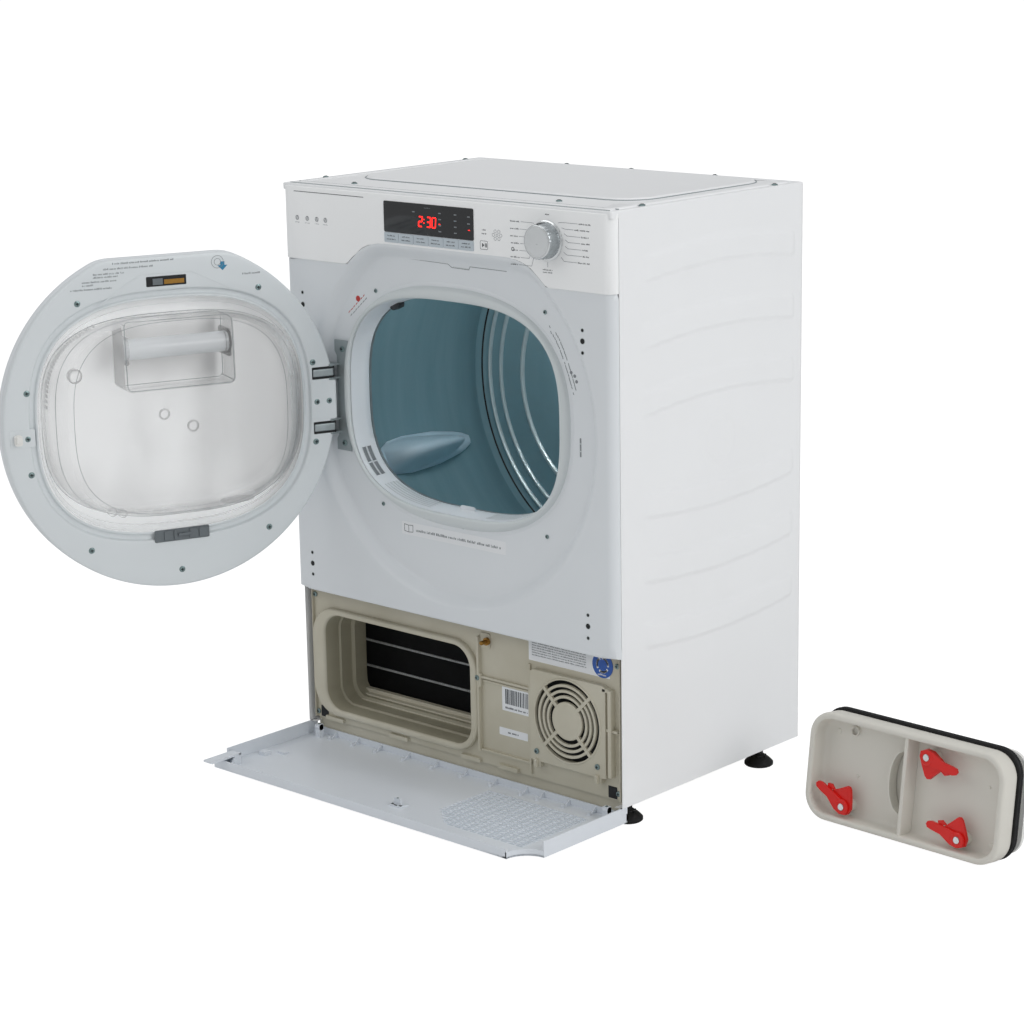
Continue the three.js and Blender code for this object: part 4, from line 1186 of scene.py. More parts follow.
def door_fittings():
    """Screws, hinge parts, hook, raised line and print on the door ring."""
    bm = bmesh.new()
    for s, z in ((353, 688), (99, 690), (428, 575), (430, 514), (428, 465), (352, 352), (226, 310),
                 (97, 354),
                 (23, 467), (24, 579), (19.5, 523), (1.3, 523)):
        screw_head(bm, (HINGE_X + s, 4.0, z), 4.3, (0, 1, 0))
    piece("door_screws", bm, ("screw", "hole"), "door", place=DOOR)
    bm = bmesh.new()
    slab(bm, round_rect(-17, 39, 702.5, 716, 1.2, 3), 3, 5.15, 0)
    block(bm, -14, 14, 4.9, 5.5, 705, 711, 1)
    block(bm, 16, 30, 4.9, 5.6, 704.5, 713, 2)
    for z in HINGE_Z:
        slab(bm, round_rect(-226, -192.5, z - 8.5, z + 8.5, 1.2, 3), -1.5, 5.2, 0)
    piece("door_slots", bm, ("hole", "brass", "dark_grey"), "door", place=DOOR)
    bm = bmesh.new()
    for z in HINGE_Z:
        block(bm, -225, -193.5, 1, 6.2, z - 5.5, z + 5.5)
    piece("door_arm_ends", bm, "zinc", "door", place=DOOR, bevel=2.0, segments=3)
    bm = bmesh.new()
    block(bm, -228, -190, -5, 5.3, 497, 552)
    piece("door_hinge_block", bm, "ring", "door", place=DOOR, bevel=1.6, segments=3)
    bm = bmesh.new()
    slab(bm, round_rect(202, 236, 503, 527, 2, 3), 4.9, 5.6, 0)
    slab(bm, round_rect(220.5, 231, 507, 521, 3, 4), 5.4, 11.5, 1)
    block(bm, 222, 229, 10.8, 14.5, 511, 520, 1)
    piece("door_hook", bm, ("ring", "white"), "door", place=DOOR, bevel=0.8)
    bm = bmesh.new()
    stroke(bm, [(105.8, 682.2), (63.2, 711), (43.7, 720.5), (-23.7, 720), (-77.8, 693.3)], 1.4, 5.55, 0,
           0.6)
    piece("door_relief", bm, "ring", "door", place=DOOR, bevel=0.25)
    bm = bmesh.new()
    for xa, z, xb in ((85.4, 736.2, -0.3), (98.4, 729.6, 28.8), (112.8, 723.6, 69), (112, 719.6, 78),
                      (128, 714, 80), (128, 710, 112), (143.5, 704.6, 87), (-96, 709, -122)):
        label_marks(bm, xb, z, xa - xb, 5.06, 1, 0, 2.4)
    for radius, count in ((8.5, 24), (4.5, 18)):
        ring = circle(-62, 729, radius, count)
        for a, b in zip(ring, ring[1:] + ring[:1]):
            tube(bm, [(a[0], 5.1, a[1]), (b[0], 5.1, b[1])], 0.3, 0, 6)
    slab(bm, [(-66, 729), (-72, 729), (-72, 724), (-76, 724), (-69, 717), (-62, 724), (-66, 724)], 5, 5.2,
         1)
    return piece("door_print", bm, ("ink_soft", "ink_blue"), "door", place=DOOR)


def door_liner():
    bm = bmesh.new()
    rows = []
    for a, b, n, y in ((187.5, 160, 2.7, 3.0), (186.5, 159, 2.7, 3.6), (184.5, 157, 2.72, 3.6),
                       (183, 151, 2.75, 2.4),
                       (182.6, 150, 2.78, -4.0), (184.2, 151, 2.78, -5.0), (186.6, 158, 2.72, -3.4),
                       (187.5, 160, 2.7, 1.2)):
        rows.append(at_depth(superellipse(a, b, n, DX - 1, 527, 144), y))
    skin(bm, rows, looped=True)
    return piece("liner_rim", bm, "clear", "door", place=DOOR, replaces="door_liner",
                 sharp=60)


TANK_OUT = [(168, 122, 3, -24.5), (176, 130, 3, -22.5), (180.5, 134, 3, -18), (182, 136, 3, -8),
            (182.5, 136.4, 3, 2),
            (182, 136.6, 3, 6), (179.5, 136.6, 3, 9.5), (175, 136.6, 3, 13), (170, 136.4, 3, 18),
            (165, 136, 3, 24),
            (160, 135, 3, 30), (156, 133.5, 3, 33.2), (150, 130.5, 2.95, 35.4), (140, 122, 2.9, 36.8),
            (110, 95, 2.8, 38.4), (70, 60, 2.5, 39.2), (30, 26, 2.2, 39.5)]


POCKET = (-68, 82, 570, 661)
TANK_WALL = 2.6


def tank_front(x, z):
    """Depth of the tank's bowed front at a place."""
    u, v = abs(x - TANK_X), abs(z - TANK_Z)
    levels = [(((u / a) ** n + (v / b) ** n) ** (1 / n), y) for a, b, n, y in TANK_OUT[5:]]
    for (k0, y0), (k1, y1) in zip(levels, levels[1:]):
        if k0 <= 1 <= k1:
            return y0 + (y1 - y0) * (1 - k0) / max(1e-6, k1 - k0)
    return TANK_OUT[-1][3]


def tank_edges():
    """Painted shade: grey tubes along the corners of the thick clear plastic, standing in for the dark
    lines that light bending through it shows there.
    """
    bm = bmesh.new()
    rim = round_rect(*POCKET, 7, 5)
    tube(bm, [(x, tank_front(x, z) + 0.1, z) for x, z in rim], 0.55, closed=True, count=6)
    tube(bm, [(x, -9.6, z) for x, z in rim], 0.45, closed=True, count=6)
    for i in (8, 14, 20):
        x, z = rim[i]
        tube(bm, [(x, -9.6, z), (x, tank_front(x, z), z)], 0.4, count=6)
    for a, b, n, y in (TANK_OUT[3], TANK_OUT[8], TANK_OUT[12]):
        tube(bm, at_depth(superellipse(a, b, n, TANK_X, TANK_Z, 96), y), 0.35, closed=True, count=6)
    return piece("tank_edge_shade_lines", bm, "edge", "tank", place=DOOR, sharp=80)


def tank():
    bm = bmesh.new()
    outer = [at_depth(superellipse(a, b, n, TANK_X, TANK_Z, 144), y) for a, b, n, y in TANK_OUT]
    skin(bm, outer, cap_first=True, cap_last=True)
    bmesh.ops.recalc_face_normals(bm, faces=bm.faces)
    inner = [at_depth(superellipse(a - TANK_WALL, b - TANK_WALL, n, TANK_X, TANK_Z, 144),
                      y + (TANK_WALL if y < -15 else -TANK_WALL if y > 30 else 0))
             for a, b, n, y in TANK_OUT]
    inner_bm = bmesh.new()
    skin(inner_bm, inner, cap_first=True, cap_last=True)
    bmesh.ops.recalc_face_normals(inner_bm, faces=inner_bm.faces)
    pocket = bmesh.new()
    slab(pocket, round_rect(*POCKET, 7, 5), -10, 70)
    wall = bmesh.new()
    slab(wall, round_rect(-70.4, 84.4, 567.6, 663.4, 9, 5), -12.4, 46)
    made = boolean(bm, [(inner_bm, "DIFFERENCE"), (intersected(wall, bm), "UNION"), (pocket, "DIFFERENCE")])
    return piece("tank_shell", made, "clear", "tank", place=DOOR, replaces="water_tank",
                 sharp=40, recalc=False)


def to_object(bm, name):
    mesh = bpy.data.meshes.new(name)
    bm.to_mesh(mesh)
    obj = bpy.data.objects.new(name, mesh)
    bpy.context.collection.objects.link(obj)
    return obj


def boolean(bm, steps):
    """The mesh after each solid is cut from it or joined to it; the working objects are removed."""
    base = to_object(bm, "cut_base")
    tools = []
    for i, (other, how) in enumerate(steps):
        tool = to_object(other, f"cut_tool_{i}")
        tools.append(tool)
        mod = base.modifiers.new(f"cut_{i}", "BOOLEAN")
        mod.operation = how
        mod.object = tool
        mod.solver = "EXACT"
    bpy.context.view_layer.update()
    graph = bpy.context.evaluated_depsgraph_get()
    out = bmesh.new()
    out.from_mesh(base.evaluated_get(graph).to_mesh())
    for obj in [base] + tools:
        data = obj.data
        bpy.data.objects.remove(obj)
        bpy.data.meshes.remove(data)
    return out


def intersected(a, b):
    return boolean(a, [(b.copy(), "INTERSECT")])


def tank_details():
    """The roller in the grip pocket, marks and ribs on the tank, and the clip that holds it."""
    bm = bmesh.new()
    lathe(bm, [(13.6, -68), (14, -66), (14, 77), (13.6, 79)], (1, 12, 622), axis="X", count=40)
    piece("tank_roller", bm, "frosted", "tank", place=DOOR, replaces="tank_handle",
          sharp=50)
    bm = bmesh.new()
    for x in (-69.0, 74.6):
        slab(bm, round_rect(x, x + 6.4, 603, 641, 2.6, 4), -7, 27)
        lathe(bm, [(15.8, -1), (16.8, 0), (16.8, 6), (15.8, 7)], (x, 12, 622), axis="X", count=32)
    piece("tank_roller_ends", bm, "clear", "tank", place=DOOR, bevel=0.8)
    bm = bmesh.new()
    for (x, z), r in (((33.6, 535.6), 7.5), ((-5.8, 515.8), 8.0)):
        lathe(bm, [(r, 38.4), (r, 40.2), (r - 0.8, 40.6), (r - 1.8, 40.2), (r - 1.8, 38.4)], (x, 0, z),
              count=32,
              tip=False)
    oval = [2 * math.pi * i / 24 for i in range(24)]
    slab(bm, [(-66 + 24 * math.cos(t), 406 + 4.5 * math.sin(t)) for t in oval], 30, 36.5)
    lathe(bm, [(9.5, 20), (10, 28), (9, 30), (7.6, 30.2)], (150, 0, 596), count=32, tip=False)
    for x, z in ((108, 406), (94, 403)):
        lathe(bm, [(6, 20), (6, 27), (5, 28.4), (4, 28.4)], (x, 0, z), count=24, tip=False)
    piece("tank_marks", bm, "clear", "tank", place=DOOR, sharp=50)
    bm = bmesh.new()
    for i in range(26):
        t = math.radians(118 + i * 2.3)
        c, s = math.cos(math.pi - t), math.sin(t)
        x = 7 + 178 * math.copysign(abs(c) ** (2 / 3), c)
        z = 529 + 138 * math.copysign(abs(s) ** (2 / 3), s)
        block(bm, x - 0.5, x + 0.5, -2, 9, z - 2.2, z + 2.2)
    piece("tank_ribs", bm, "clear", "tank", place=DOOR)
    bm = bmesh.new()
    slab(bm, round_rect(-33, 45, 351.5, 368.5, 1.5, 3), 4.9, 6.6, 0)
    for x in (-30, -16, 14, 20):
        slab(bm, round_rect(x, x + (12 if x != 14 else 4), 353.6, 366.6, 1, 2), 6.2, 8.2)
    block(bm, -8, 12, 6.2, 9.4, 358, 362)
    return piece("tank_clip_body", bm, "dark_grey", "tank_clip", place=DOOR, replaces="tank_latch",
                 bevel=0.5)


# ---- kick area ------------------------------------------------------------------------------------
EX0, EX1, EZ0, EZ1 = -262, 24, 60, 202
FAN_X, FAN_Z = 202, 135


def kick_frame():
    bm = bmesh.new()
    lip_out = round_rect(-287, 36, 50, 211, 44, 14)
    quarter = len(lip_out) // 4
    corners = [(44, 40), (44, 236), (-290, 236), (-290, 40)]
    square = []
    for corner in corners:
        square += [corner] * quarter
    rows = [at_depth(square, 23)]
    shape = [(0, 23), (0, 18.5), (0.6, 16.6), (2, 15.4), (3.6, 15)]
    for d, y in shape:
        rows.append(at_depth(round_rect(-287 + d, 36 - d, 50 + d, 211 - d, 44 - d, 14), y))
    for d, r, y in ((-3.6, 33, 15), (-2, 32, 15.4), (-0.7, 31, 16.6), (0, 30, 18.5), (0.4, 30, 44),
                    (3.2, 27, 45.5),
                    (3.4, 27, 66), (9, 22, 68), (9.4, 22, 90)):
        rows.append(at_depth(round_rect(EX0 + d, EX1 - d, EZ0 + d, EZ1 - d, r, 14), y))
    skin(bm, rows)
    fan_ring = circle(FAN_X, FAN_Z, 60, 96)
    wall = []
    for x, z in fan_ring:
        dx, dz = x - FAN_X, z - FAN_Z
        k = min((290 - FAN_X if dx > 0 else FAN_X - 44) / max(1e-6, abs(dx)),
                (236 - FAN_Z if dz > 0 else FAN_Z - 40) / max(1e-6, abs(dz)))
        wall.append((FAN_X + dx * k, FAN_Z + dz * k))
    skin(bm, [at_depth(wall, 23), at_depth(fan_ring, 23), at_depth(circle(FAN_X, FAN_Z, 60, 96), 36)])
    for x, z in ((290, 236), (290, 40), (44, 236), (44, 40)):
        near = sorted(wall, key=lambda p: math.hypot(p[0] - x, p[1] - z))[:2]
        bm.faces.new([bm.verts.new((x, 23, z))] + [bm.verts.new((p[0], 23, p[1])) for p in near])
    obj = piece("kick_frame_face", bm, ("beige", "beige_shaded"), "cabinet", replaces="kick_frame",
                sharp=35)
    # painted shade: faces more than 28 mm deep take the darker beige copy
    for f in obj.data.polygons:
        if (f.center.y - SHIFT.y) / MM > 28:
            f.material_index = 1
    return obj


def kick_ribs():
    """Ribs of the kick frame, dark plates of painted shade in its openings, the earth stud and the labels
    beside the fan.
    """
    bm = bmesh.new()
    block(bm, 36, 40, 17, 24, 58, 222)
    slab(bm, round_rect(31, 43, 150, 170, 3, 3), 17.6, 24)
    block(bm, 40, 150, 19, 24, 163, 166.5)
    block(bm, 44, 130, 21, 24, 158, 161)
    slab(bm, round_rect(40, 58, 206, 228, 3, 3), 21.5, 24)
    block(bm, 36, 132, 19.5, 24, 58, 61.5)
    block(bm, 128, 132, 20, 24, 44, 200)
    block(bm, 273, 278.5, 13, 24, 72, 192)
    block(bm, 268, 287, 16, 24, 134, 138)
    block(bm, 262, 274, 15, 24, 188, 193)
    for x in (147, 254):
        block(bm, x - 6, x + 6, 14.9, 24, 60, 76)
        block(bm, x - 2.4, x + 2.4, 10.5, 16, 60, 72)
    block(bm, -290, 290, 27, 29, 16, 40.5)
    for side in (-1, 1):
        block(bm, side * 289 - 1, side * 289 + 1, 18.6, 30, 40, 236)
    for x in (-250, -120, 20, 90):
        block(bm, x - 18, x + 18, 18, 24, 40, 46)
    for z in (66, 71.5, 77):
        block(bm, EX0 + 12, EX1 - 12, 66 + (z - 66) * 1.4, 90, z - 6, z)
    piece("kick_frame_ribs", bm, "beige", "cabinet", bevel=0.8)
    bm = bmesh.new()
    # painted shade: dark plates behind the flap hinge openings and behind the fin pack
    for x in (-273.5, 273.5):
        block(bm, x - 7.5, x + 7.5, 22.6, 24, 41.5, 58)
    block(bm, EX0 - 12, EX1 + 12, 178, 180, EZ0 - 8, EZ1 + 6)
    piece("kick_opening_shade", bm, "hole", "cabinet")
    bm = bmesh.new()
    lathe(bm, [(5.5, 21.4), (5.5, 17.5), (3.0, 17.2), (3.0, 8.5), (2.2, 7.4), (0.4, 7.2)], (54, 0, 217),
          count=12)
    piece("earth_stud", bm, "brass", "cabinet")
    bm = bmesh.new()
    slab(bm, round_rect(78, 131, 124, 158, 1, 2), 22.7, 23.2, 0)
    x = 84
    while x < 125:
        w = rng.choice((0.7, 1.1, 1.6, 2.1))
        block(bm, x, x + w, 22.55, 22.9, 134, 155, 1)
        x += w + rng.choice((0.7, 0.9, 1.5))
    label_marks(bm, 84, 127.4, 42, 22.6, 1, 1, 2.6)
    slab(bm, round_rect(72, 124, 88, 99, 1, 2), 22.7, 23.2, 0)
    label_marks(bm, 88, 92.2, 20, 22.6, 1, 1, 2.8)
    slab(bm, round_rect(128, 270, 205, 238, 1, 2), 22.7, 23.2, 0)
    for r in range(7):
        label_marks(bm, 134, 233 - r * 3.4, 96, 22.6, 1, 2, 1.7)
    lathe(bm, [(17.5, 22.2), (17.5, 22.9)], (258, 0, 222), 3, count=48)
    for k in range(3):
        t0 = 2 * math.pi * k / 3
        arc = [(258 + 9.5 * math.cos(t0 + i * 0.22), 222 + 9.5 * math.sin(t0 + i * 0.22)) for i in range(8)]
        stroke(bm, arc, 3.0, 22.2, 0, 0.1)
    label_marks(bm, 250, 207.5, 16, 22.1, 1, 0, 2.6)
    return piece("kick_labels", bm, ("label", "ink", "ink_soft", "sticker_blue"), "cabinet")


def fan_grille():
    bm = bmesh.new()
    hole = circle(FAN_X, FAN_Z, 56.5, 96)
    plate = []
    for x, z in hole:
        dx, dz = x - FAN_X, z - FAN_Z
        kx = (268 - FAN_X if dx > 0 else FAN_X - 136) / max(1e-6, abs(dx))
        kz = (196 - FAN_Z if dz > 0 else FAN_Z - 68) / max(1e-6, abs(dz))
        k = min(kx, kz)
        plate.append((FAN_X + dx * k, FAN_Z + dz * k))
    skin(bm, [at_depth(plate, 22.8), at_depth(plate, 15), at_depth(circle(FAN_X, FAN_Z, 59.5, 96), 15),
              at_depth(circle(FAN_X, FAN_Z, 58.2, 96), 13.4),
              at_depth(circle(FAN_X, FAN_Z, 56.5, 96), 13.4),
              at_depth(circle(FAN_X, FAN_Z, 56.2, 96), 18)])
    for r in (49, 41.3, 33.6):
        skin(bm, [at_depth(circle(FAN_X, FAN_Z, q, 80), y) for q, y in (
            (r + 1.9, 13.6), (r + 1.9, 18), (r - 1.9, 18), (r - 1.9, 13.6))], looped=True)
    lathe(bm, [(26.5, 18), (26.5, 14.6), (25.2, 13.4), (0.4, 13.2)], (FAN_X, 0, FAN_Z), count=64)
    for t in (45, 135, 225, 315):
        c, s = math.cos(math.radians(t)), math.sin(math.radians(t))
        pts = [(FAN_X + c * a - s * b, FAN_Z + s * a + c * b)
               for a, b in ((25, -2.4), (58, -2.4), (58, 2.4), (25, 2.4))]
        slab(bm, pts, 12.8, 18)
    piece("fan_grille_face", bm, "beige", "cabinet", replaces="fan_grille", bevel=0.5,
          sharp=35)
    bm = bmesh.new()
    lathe(bm, [(59, 36), (59, 29), (0.5, 29)], (FAN_X, 0, FAN_Z), count=48)
    return piece("fan_shadow", bm, "hole", "cabinet")


def fins():
    bm = bmesh.new()
    x = EX0 + 2
    while x < EX1:
        block(bm, x, x + 0.5, 92, 172, EZ0 + 4, EZ1 + 2)
        x += 1.9
    block(bm, EX0, EX1, 120, 122, EZ0 - 4, EZ1 + 2)
    piece("fin_pack", bm, "fin", "cabinet", replaces="evaporator")
    bm = bmesh.new()
    for z in (147, 108):
        x = EX0 + 2.7
        while x < EX1:
            lathe(bm, [(1.9, x), (1.9, x + 2.4)], (0, 92.4, z), axis="X", count=10)
            x += 3.8
    return piece("coil_tubes", bm, "tube", "cabinet")


# ---- kick flap ------------------------------------------------------------------------------------
def kick_flap():
    half, bottom, top, rim, skin_y = 295.5, 34, 234, 22, 2.6
    cut = []
    for i in range(9):
        t = math.radians(180 + 90 * i / 8)
        cut.append((half + 34 * math.cos(t) + 0.01, top + 34 * math.sin(t)))
    outline = [(-half, bottom), (half, bottom)] + cut[::-1] + [(-half, top)]
    bm = bmesh.new()
    slab(bm, outline, 0, skin_y)
    block(bm, -half, -half + 2.2, 0, rim, bottom, top - 24)
    block(bm, half - 2.2, half, 0, rim, bottom, top - 34)
    block(bm, -half, half, 0, 12, bottom, bottom + 2.2)
    block(bm, -half, half - 34, 0, 13, top - 2.2, top)
    inner_arc = [(half + 36 * math.cos(math.radians(180 + 90 * i / 8)), top + 36 * math.sin(
        math.radians(180 + 90 * i / 8))) for i in range(9)]
    band = [at_depth([a, b], 0) + at_depth([b, a], 9) for a, b in zip(cut, inner_arc)]
    skin(bm, band, cap_first=True, cap_last=True)
    block(bm, -half + 5, -half + 23, 15.4, 18.2, top - 30, top + 24)
    block(bm, -half + 5, -half + 23, 0, 18.2, top - 30, top - 27)
    for k in (-half + 5, -half + 20.5):
        slab_pts = [(k, 0, top - 27), (k + 2.4, 0, top - 27), (k + 2.4, 0, top - 6), (k, 0, top - 6)]
        skin(bm, [slab_pts, [(p[0], 15.6, p[2] - (13 if p[2] > top - 10 else 0)) for p in slab_pts]],
             cap_first=True, cap_last=True)
    for x in (-252, -206, -160, -104, -48, 8, 64, 120, 150, 196, 242):
        low = [(x, skin_y - 0.1, bottom + 2), (x, 11, bottom + 2), (x, skin_y - 0.1, bottom + 14)]
        high = [(p[0] + 1.8, p[1], p[2]) for p in low]
        skin(bm, [low, high], cap_first=True, cap_last=True)
        lathe(bm, [(2.6, 2.4), (2.2, 7.5), (0.4, 8)], (x + 1, 0, bottom + 17), count=12)
    for x in (-235, 184):
        slab(bm, round_rect(x, x + 26, top - 14, top - 2, 1, 2), 2.4, 9)
        block(bm, x + 6, x + 20, 8.6, 10.5, top - 10, top - 2)
    for x in (-273.5, 273.5):
        block(bm, x - 4.5, x + 4.5, 2, 21.4, 46, 54)
        lathe(bm, [(4.6, -4.5), (4.6, 4.5)], (x, 17, 50), axis="X", count=16)
    slab(bm, round_rect(9, 32, 176, 193, 2, 3), 2.4, 4.2)
    block(bm, 14.5, 26.5, 3, 13, 184, 187.2)
    block(bm, -half + 14, -half + 26, 2, 8, 150, 162)
    block(bm, -half + 30, -half + 44, 2, 6, 132, 141)
    piece("flap_body", bm, "flap", "flap", place=FLAP, replaces="kick_flap", bevel=0.6)
    bm = bmesh.new()
    for r in range(17):
        z = 66 + r * 7.8
        x0 = 76 if r < 13 else 76 + (r - 12) * 9
        block(bm, x0, 252, 2.5, 4.2, z, z + 1.3, 0)
        for c in range(13):
            x = 80 + c * 13.6
            if x < x0:
                continue
            # painted shade: the openings between the louvre bars are filled with thin grey-blue plates
            block(bm, x, x + 10.2, 2.5, 2.78, z + 2.6, z + 5.2, 1)
    for c in range(14):
        x = 76 + c * 13.6
        block(bm, x - 0.5, x + 0.5, 2.5, 3.4, 66, 66 + (12 if x < 110 else 16) * 7.8, 0)
    piece("flap_louvres", bm, ("flap", "key"), "flap", place=FLAP, bevel=0.25)
    bm = bmesh.new()
    for x0, x1, z0, z1 in ((11, 15, 186, 190), (17, 23, 188.4, 191.4), (25, 30, 186, 190)):
        block(bm, x0, x1, 4.0, 4.4, z0, z1)
    piece("flap_catch_slot", bm, "hole", "flap", place=FLAP)
    bm = bmesh.new()
    lathe(bm, [(1.6, 12.6), (1.6, 13.4)], (20.5, 0, 185.6), count=12)
    for x in (-273.5, 273.5):
        screw_head(bm, (x, 21.2, 50), 2.2, (0, 1, 0))
    return piece("flap_pins", bm, ("screw", "hole"), "flap", place=FLAP)


# ---- exchanger cover ------------------------------------------------------------------------------
CW, CH, CD = 307, 146, 30
PIVOTS = ((60, 24), (186, 119), (243, 24))
LEVER_TURN = (-16, 182, 0)


def cover_plate():
    bm = bmesh.new()
    n = 12

    def inset_rect(d, r):
        return round_rect(d, CW - d, d, CH - d, r, n)

    rows = []
    for d, r, y in ((1.5, 32, CD), (0.4, 33, CD - 2), (0, 34, CD - 5), (0, 34, 5), (0.5, 33.5, 2.4),
                    (1.8, 32.5, 0.7),
                    (3.6, 31, 0), (6.4, 28, 0), (8, 26.5, 0.8), (8.8, 25.5, 2.6), (9.2, 25, 6),
                    (9.8, 24.5, CD - 9),
                    (11.5, 23, CD - 6), (15, 20, CD - 4.6), (22, 14, CD - 4.2)):
        rows.append(at_depth(inset_rect(d, r), y))
    skin(bm, rows, cap_first=True, cap_last=True)
    piece("cover_tray", bm, "cover", "cover", place=COVER, replaces="cover_plate",
          sharp=40)
    bm = bmesh.new()
    mid = CW / 2
    skin(bm, [[(mid - w, y, 6), (mid + w, y, 6), (mid + w, y, CH - 6), (mid - w, y, CH - 6)]
              for w, y in ((4.4, CD - 4.5), (3.0, 5.5), (2.6, 3.4), (1.6, 2.8))], cap_first=True,
         cap_last=True)
    arc = []
    for i in range(21):
        t = math.pi * (i / 20)
        arc.append((mid - 3 - 24 * math.sin(t) ** 0.8, 76 + 42 * math.cos(t)))
    inner_side = [(x + 2, z) for x, z in arc]
    rings = [at_depth(arc, CD - 4.6), at_depth(arc, 8.4), at_depth(inner_side, 8.4),
             at_depth(inner_side, CD - 6)]
    skin(bm, rings, closed=False)
    for k in range(6):
        z = 50 + k * 10
        block(bm, mid - 4, mid - 2, 5, CD - 6, z, z + 1)
    lathe(bm, [(6.8, CD - 4), (6.6, CD - 8), (6.0, CD - 8.8), (5.2, CD - 8.4), (4.8, CD - 5)], (58, 0, 124),
          count=32,
          tip=False)
    for x, z, r in ((30, 118, 4), (66, 64, 2.6), (150, 88, 2.2), (287, 60, 2.2), (281, 22, 4.6),
                    (270, 96, 2)):
        lathe(bm, [(r, CD - 4), (r * 0.8, CD - 5.4), (0.4, CD - 5.8)], (x, 0, z), count=16)
    for x, z in PIVOTS:
        lathe(bm, [(8.6, CD - 4), (8.2, 12), (7.6, 11.4), (0.4, 11.4)], (x, 0, z), count=28)
    lathe(bm, [(2.4, -1.7), (2.8, -1), (2.8, 2)], (150, 12, 0), axis="Z", count=12)
    return piece("cover_ribs", bm, "cover", "cover", place=COVER, bevel=0.6)


def cover_back():
    bm = bmesh.new()
    n = 12

    def soft_rect(x0, x1, z0, z1, r):
        return round_rect(x0, x1, z0, z1, r, n)

    rows = [at_depth(soft_rect(1 - g, CW + 3 + g, 2 - g, CH + 4 + g, 34 + g), y) for g, y in (
        (-4, CD + 0.3), (-0.8, CD + 0.4), (0, CD + 1.8), (-0.6, CD + 3.4), (-2.2, CD + 4.2),
        (-0.6, CD + 5.2),
        (0, CD + 7), (-0.8, CD + 8.8), (-4, CD + 9))]
    rows += [at_depth(soft_rect(13, CW - 9, 14, CH - 8, 26), CD + 9),
             at_depth(soft_rect(13, CW - 9, 14, CH - 8, 26), CD + 0.3)]
    skin(bm, rows, looped=True)
    piece("cover_seal_band", bm, "rubber", "cover", place=COVER, replaces="cover_seal",
          sharp=50)
    bm = bmesh.new()
    rows = []
    for x0, x1, z0, z1, r, y in ((14, 297, 15, 137, 26, CD + 0.4), (14, 297, 15, 137, 26, CD + 8.4),
                                 (17, 294, 18, 134, 23, CD + 9.6), (17, 294, 18, 134, 23, CD + 28.5),
                                 (9.4, 302.6, 5, 141.6, 29, CD + 29.2), (9, 303, 4.6, 142, 30, CD + 31),
                                 (9.4, 302.6, 5, 141.6, 29, CD + 35), (12, 300, 8, 139, 27, CD + 36),
                                 (28, 283, 29, 123, 14, CD + 36), (29, 282, 30, 122, 13, CD + 12),
                                 (60, 240, 50, 100, 10, CD + 10)):
        rows.append(at_depth(soft_rect(x0, x1, z0, z1, r), y))
    skin(bm, rows, cap_first=True, cap_last=True)
    piece("cover_back_frame", bm, "white", "cover", place=COVER, replaces="cover_frame",
          sharp=40)
    bm = bmesh.new()
    skin(bm, [at_depth(soft_rect(x0, x1, z0, z1, r), y) for x0, x1, z0, z1, r, y in (
        (16.2, 295.6, 17.2, 135.2, 24, CD + 11), (12, 299.6, 12, 139, 27, CD + 12.5),
        (12, 299.6, 12, 139, 27, CD + 24),
        (16.2, 295.6, 17.2, 135.2, 24, CD + 26))])
    piece("cover_back_gasket", bm, "gasket", "cover", place=COVER, sharp=50)


def lever(index):
    x, z = PIVOTS[index]
    t = math.radians(LEVER_TURN[index])

    def put(points):
        c, s = math.cos(t), math.sin(t)
        return [(x + a * c - b * s, z + a * s + b * c) for a, b in points]

    bm = bmesh.new()
    wing = [(10, -7), (12.5, 2), (9, 12), (3.5, 25), (0, 28.4), (-4, 28), (-13, 20), (-24, 11), (-28, 7),
            (-20, 0),
            (-8, -8.6), (2, -10.5)]
    inner = [(6, 4), (5, 11), (0.5, 22), (-2, 24.4), (-5, 23.4), (-13, 16), (-20, 9), (-10, 4)]
    slab(bm, put(wing), 6.4, 10.6, 0)
    slab(bm, put([(a * 1.02, b * 1.02) for a, b in wing]), 9.6, 11.0, 0)
    slab(bm, put(inner), 6.1, 6.6)
    bar = [(9, -7.5), (10.5, 0), (6, 7), (-4, 9.6), (-26, 13.4), (-40, 15.6), (-46, 14.4), (-48.4, 10.4),
           (-46.4, 6.2),
           (-40, 4.2), (-26, 1.4), (-10, -8.2), (0, -10.4)]
    slab(bm, put(bar), 2.6, 6.6, 0)
    slab(bm, put([(-20, 14), (-27, 19), (-33, 17.6), (-31, 12)]), 6, 10.4, 0)
    lathe(bm, [(10.2, 10.6), (10.2, 3.2), (9, 2.0), (5.4, 1.8), (5.0, 2.8), (0.4, 2.8)], (x, 0, z), 0,
          count=32)
    piece(f"lever_body_{index + 1}", bm, "red", f"cam_{index + 1}", place=COVER,
          replaces=f"lever_{index + 1}", bevel=0.7)
    bm = bmesh.new()
    lathe(bm, [(4.6, 3.4), (4.6, 1.5), (3.9, 0.9), (2.4, 0.9)], (x, 0, z), 0, count=24)
    lathe(bm, [(2.4, 0.95), (2.0, 1.3), (0.3, 1.4)], (x, 0, z), 1, count=16)
    piece(f"lever_screw_{index + 1}", bm, ("chrome", "hole"), f"cam_{index + 1}", place=COVER)


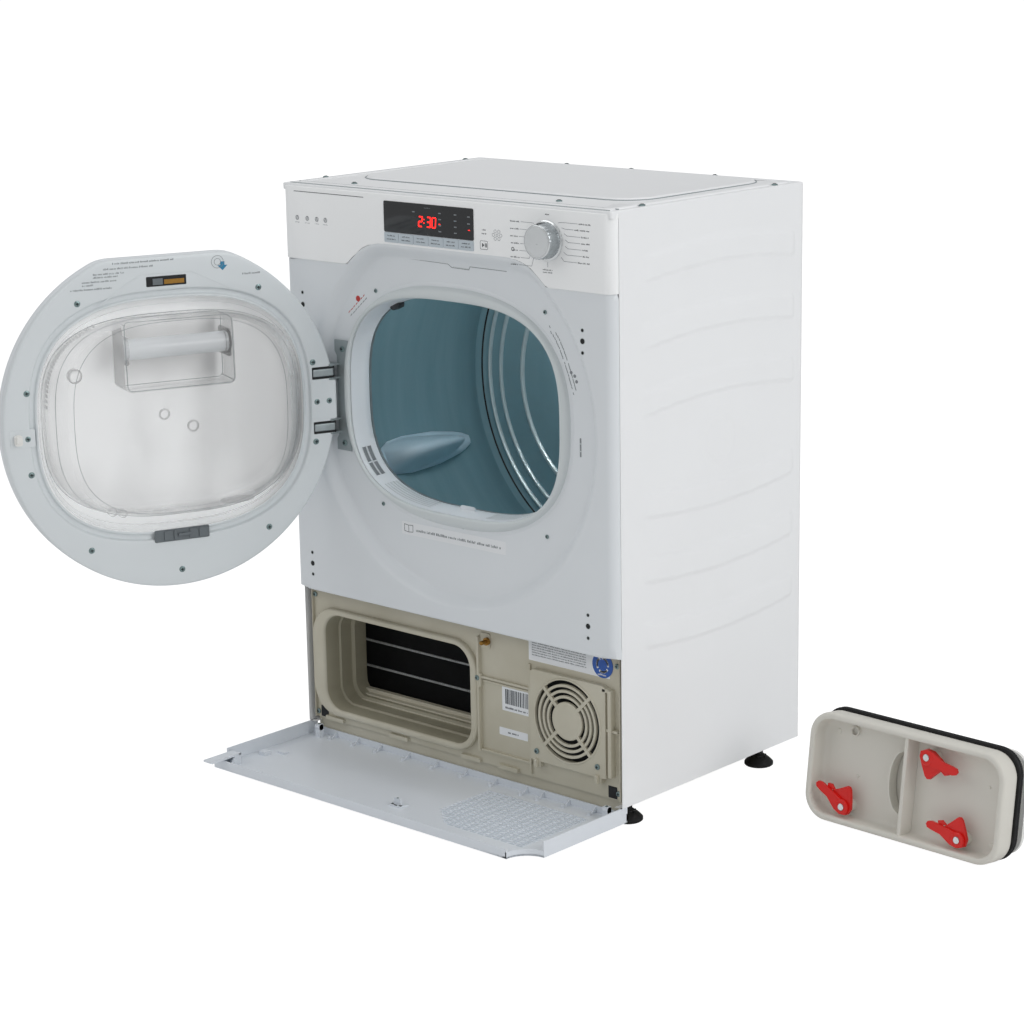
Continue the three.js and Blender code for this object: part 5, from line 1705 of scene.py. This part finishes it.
# ---- feet and back --------------------------------------------------------------------------------
def feet():
    for name, x, y in (("front_left", -268, 60), ("front_right", 268, 60), ("rear_left", -268, 350),
                       ("rear_right", 268, 350)):
        bm = bmesh.new()
        lathe(bm, [(19, 0), (20.4, 1.2), (20.4, 4.6), (18.6, 6.6), (14.5, 10.6), (9, 13.2), (8.6, 15),
                   (6, 15.4),
                   (6, 33.6)], (x, y, 0), axis="Z", count=40)
        for i in range(6):
            t = math.radians(60 * i)
            block(bm, x + 10.2 * math.cos(t) - 1, x + 10.2 * math.cos(t) + 1, y + 10.2 * math.sin(t) - 1,
                  y + 10.2 * math.sin(t) + 1, 9, 14)
        piece(f"foot_{name}_pad", bm, "rubber", "cabinet", replaces=f"foot_{name}")


def back_details():
    bm = bmesh.new()
    for i in range(9):
        z = 470 + i * 22
        for side in (-1, 1):
            slab(bm, round_rect(side * 262 - 16, side * 262 + 16, z, z + 6, 2.9, 3), 402.8, 404.6)
    slab(bm, round_rect(-60, 60, 764, 800, 6, 4), 403, 412)
    for x in range(-40, 50, 20):
        slab(bm, round_rect(x - 4, x + 4, 772, 792, 3, 3), 411.6, 413.4)
    piece("back_louvres", bm, "galvanised", "cabinet", bevel=0.8)
    bm = bmesh.new()
    for r in (120, 80):
        lathe(bm, [(r + 4, 446.6), (r + 2, 448.6), (r - 2, 448.6), (r - 4, 446.6)], DRUM_AXIS, count=72,
              tip=False)
    piece("duct_beads", bm, "galvanised", "cabinet", sharp=60)
    bm = bmesh.new()
    slab(bm, round_rect(150, 250, 760, 800, 2, 3), 402.9, 403.5, 0)
    for r in range(6):
        label_marks(bm, 156, 792 - r * 5, 80, 403.55, 1, 1, 2.0)
    piece("back_label", bm, ("label", "ink_soft"), "cabinet")


NODE_LOOKS = {
    "base_tray": "beige", "rear_panel": "galvanised", "rear_duct": "galvanised",
    "front_bulkhead": "galvanised",
    "rear_bulkhead": "galvanised", "drum_front_seal": "felt", "drive_belt": "rubber", "drive_motor": "cast",
    "motor_pulley": "zinc", "blower_wheel": "dark", "exchanger_duct": "beige", "condenser_coil": "fin",
    "compressor": "cast", "fan_bracket": "dark", "cooling_fan": "dark", "control_board": "board",
    "door_lock": "dark",
}


def dress_nodes():
    for name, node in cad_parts.items():
        look = MAT[NODE_LOOKS.get(name, "dark")]
        if not node.material_slots:
            node.data.materials.append(look)
        for s in node.material_slots:
            s.material = look
        if name in ("rear_duct", "rear_panel", "base_tray", "compressor"):
            mod = node.modifiers.new("bevel", "BEVEL")
            mod.width = 0.0012
            mod.segments = 2
            mod.limit_method = "ANGLE"
            mod.angle_limit = math.radians(40)


# ---- everything -----------------------------------------------------------------------------------
make_camera()
make_studio()
make_floor()
dress_nodes()
front_panel()
control_panel()
side_panel(-1)
side_panel(1)
top_sheet()
cabinet_screws()
panel_holes()
seam_line()
opening_trim()
throat_details()
lint_filter()
drum()
for i, angle in enumerate((202, 322, 82)):
    lifter(i + 1, angle)
display()
keys()
panel_print()
knob()
front_labels()
hinge()
door_shell()
door_ring()
door_fittings()
door_liner()
tank()
tank_edges()
tank_details()
kick_frame()
kick_ribs()
fan_grille()
fins()
kick_flap()
cover_plate()
cover_back()
for i in range(3):
    lever(i)
feet()
back_details()
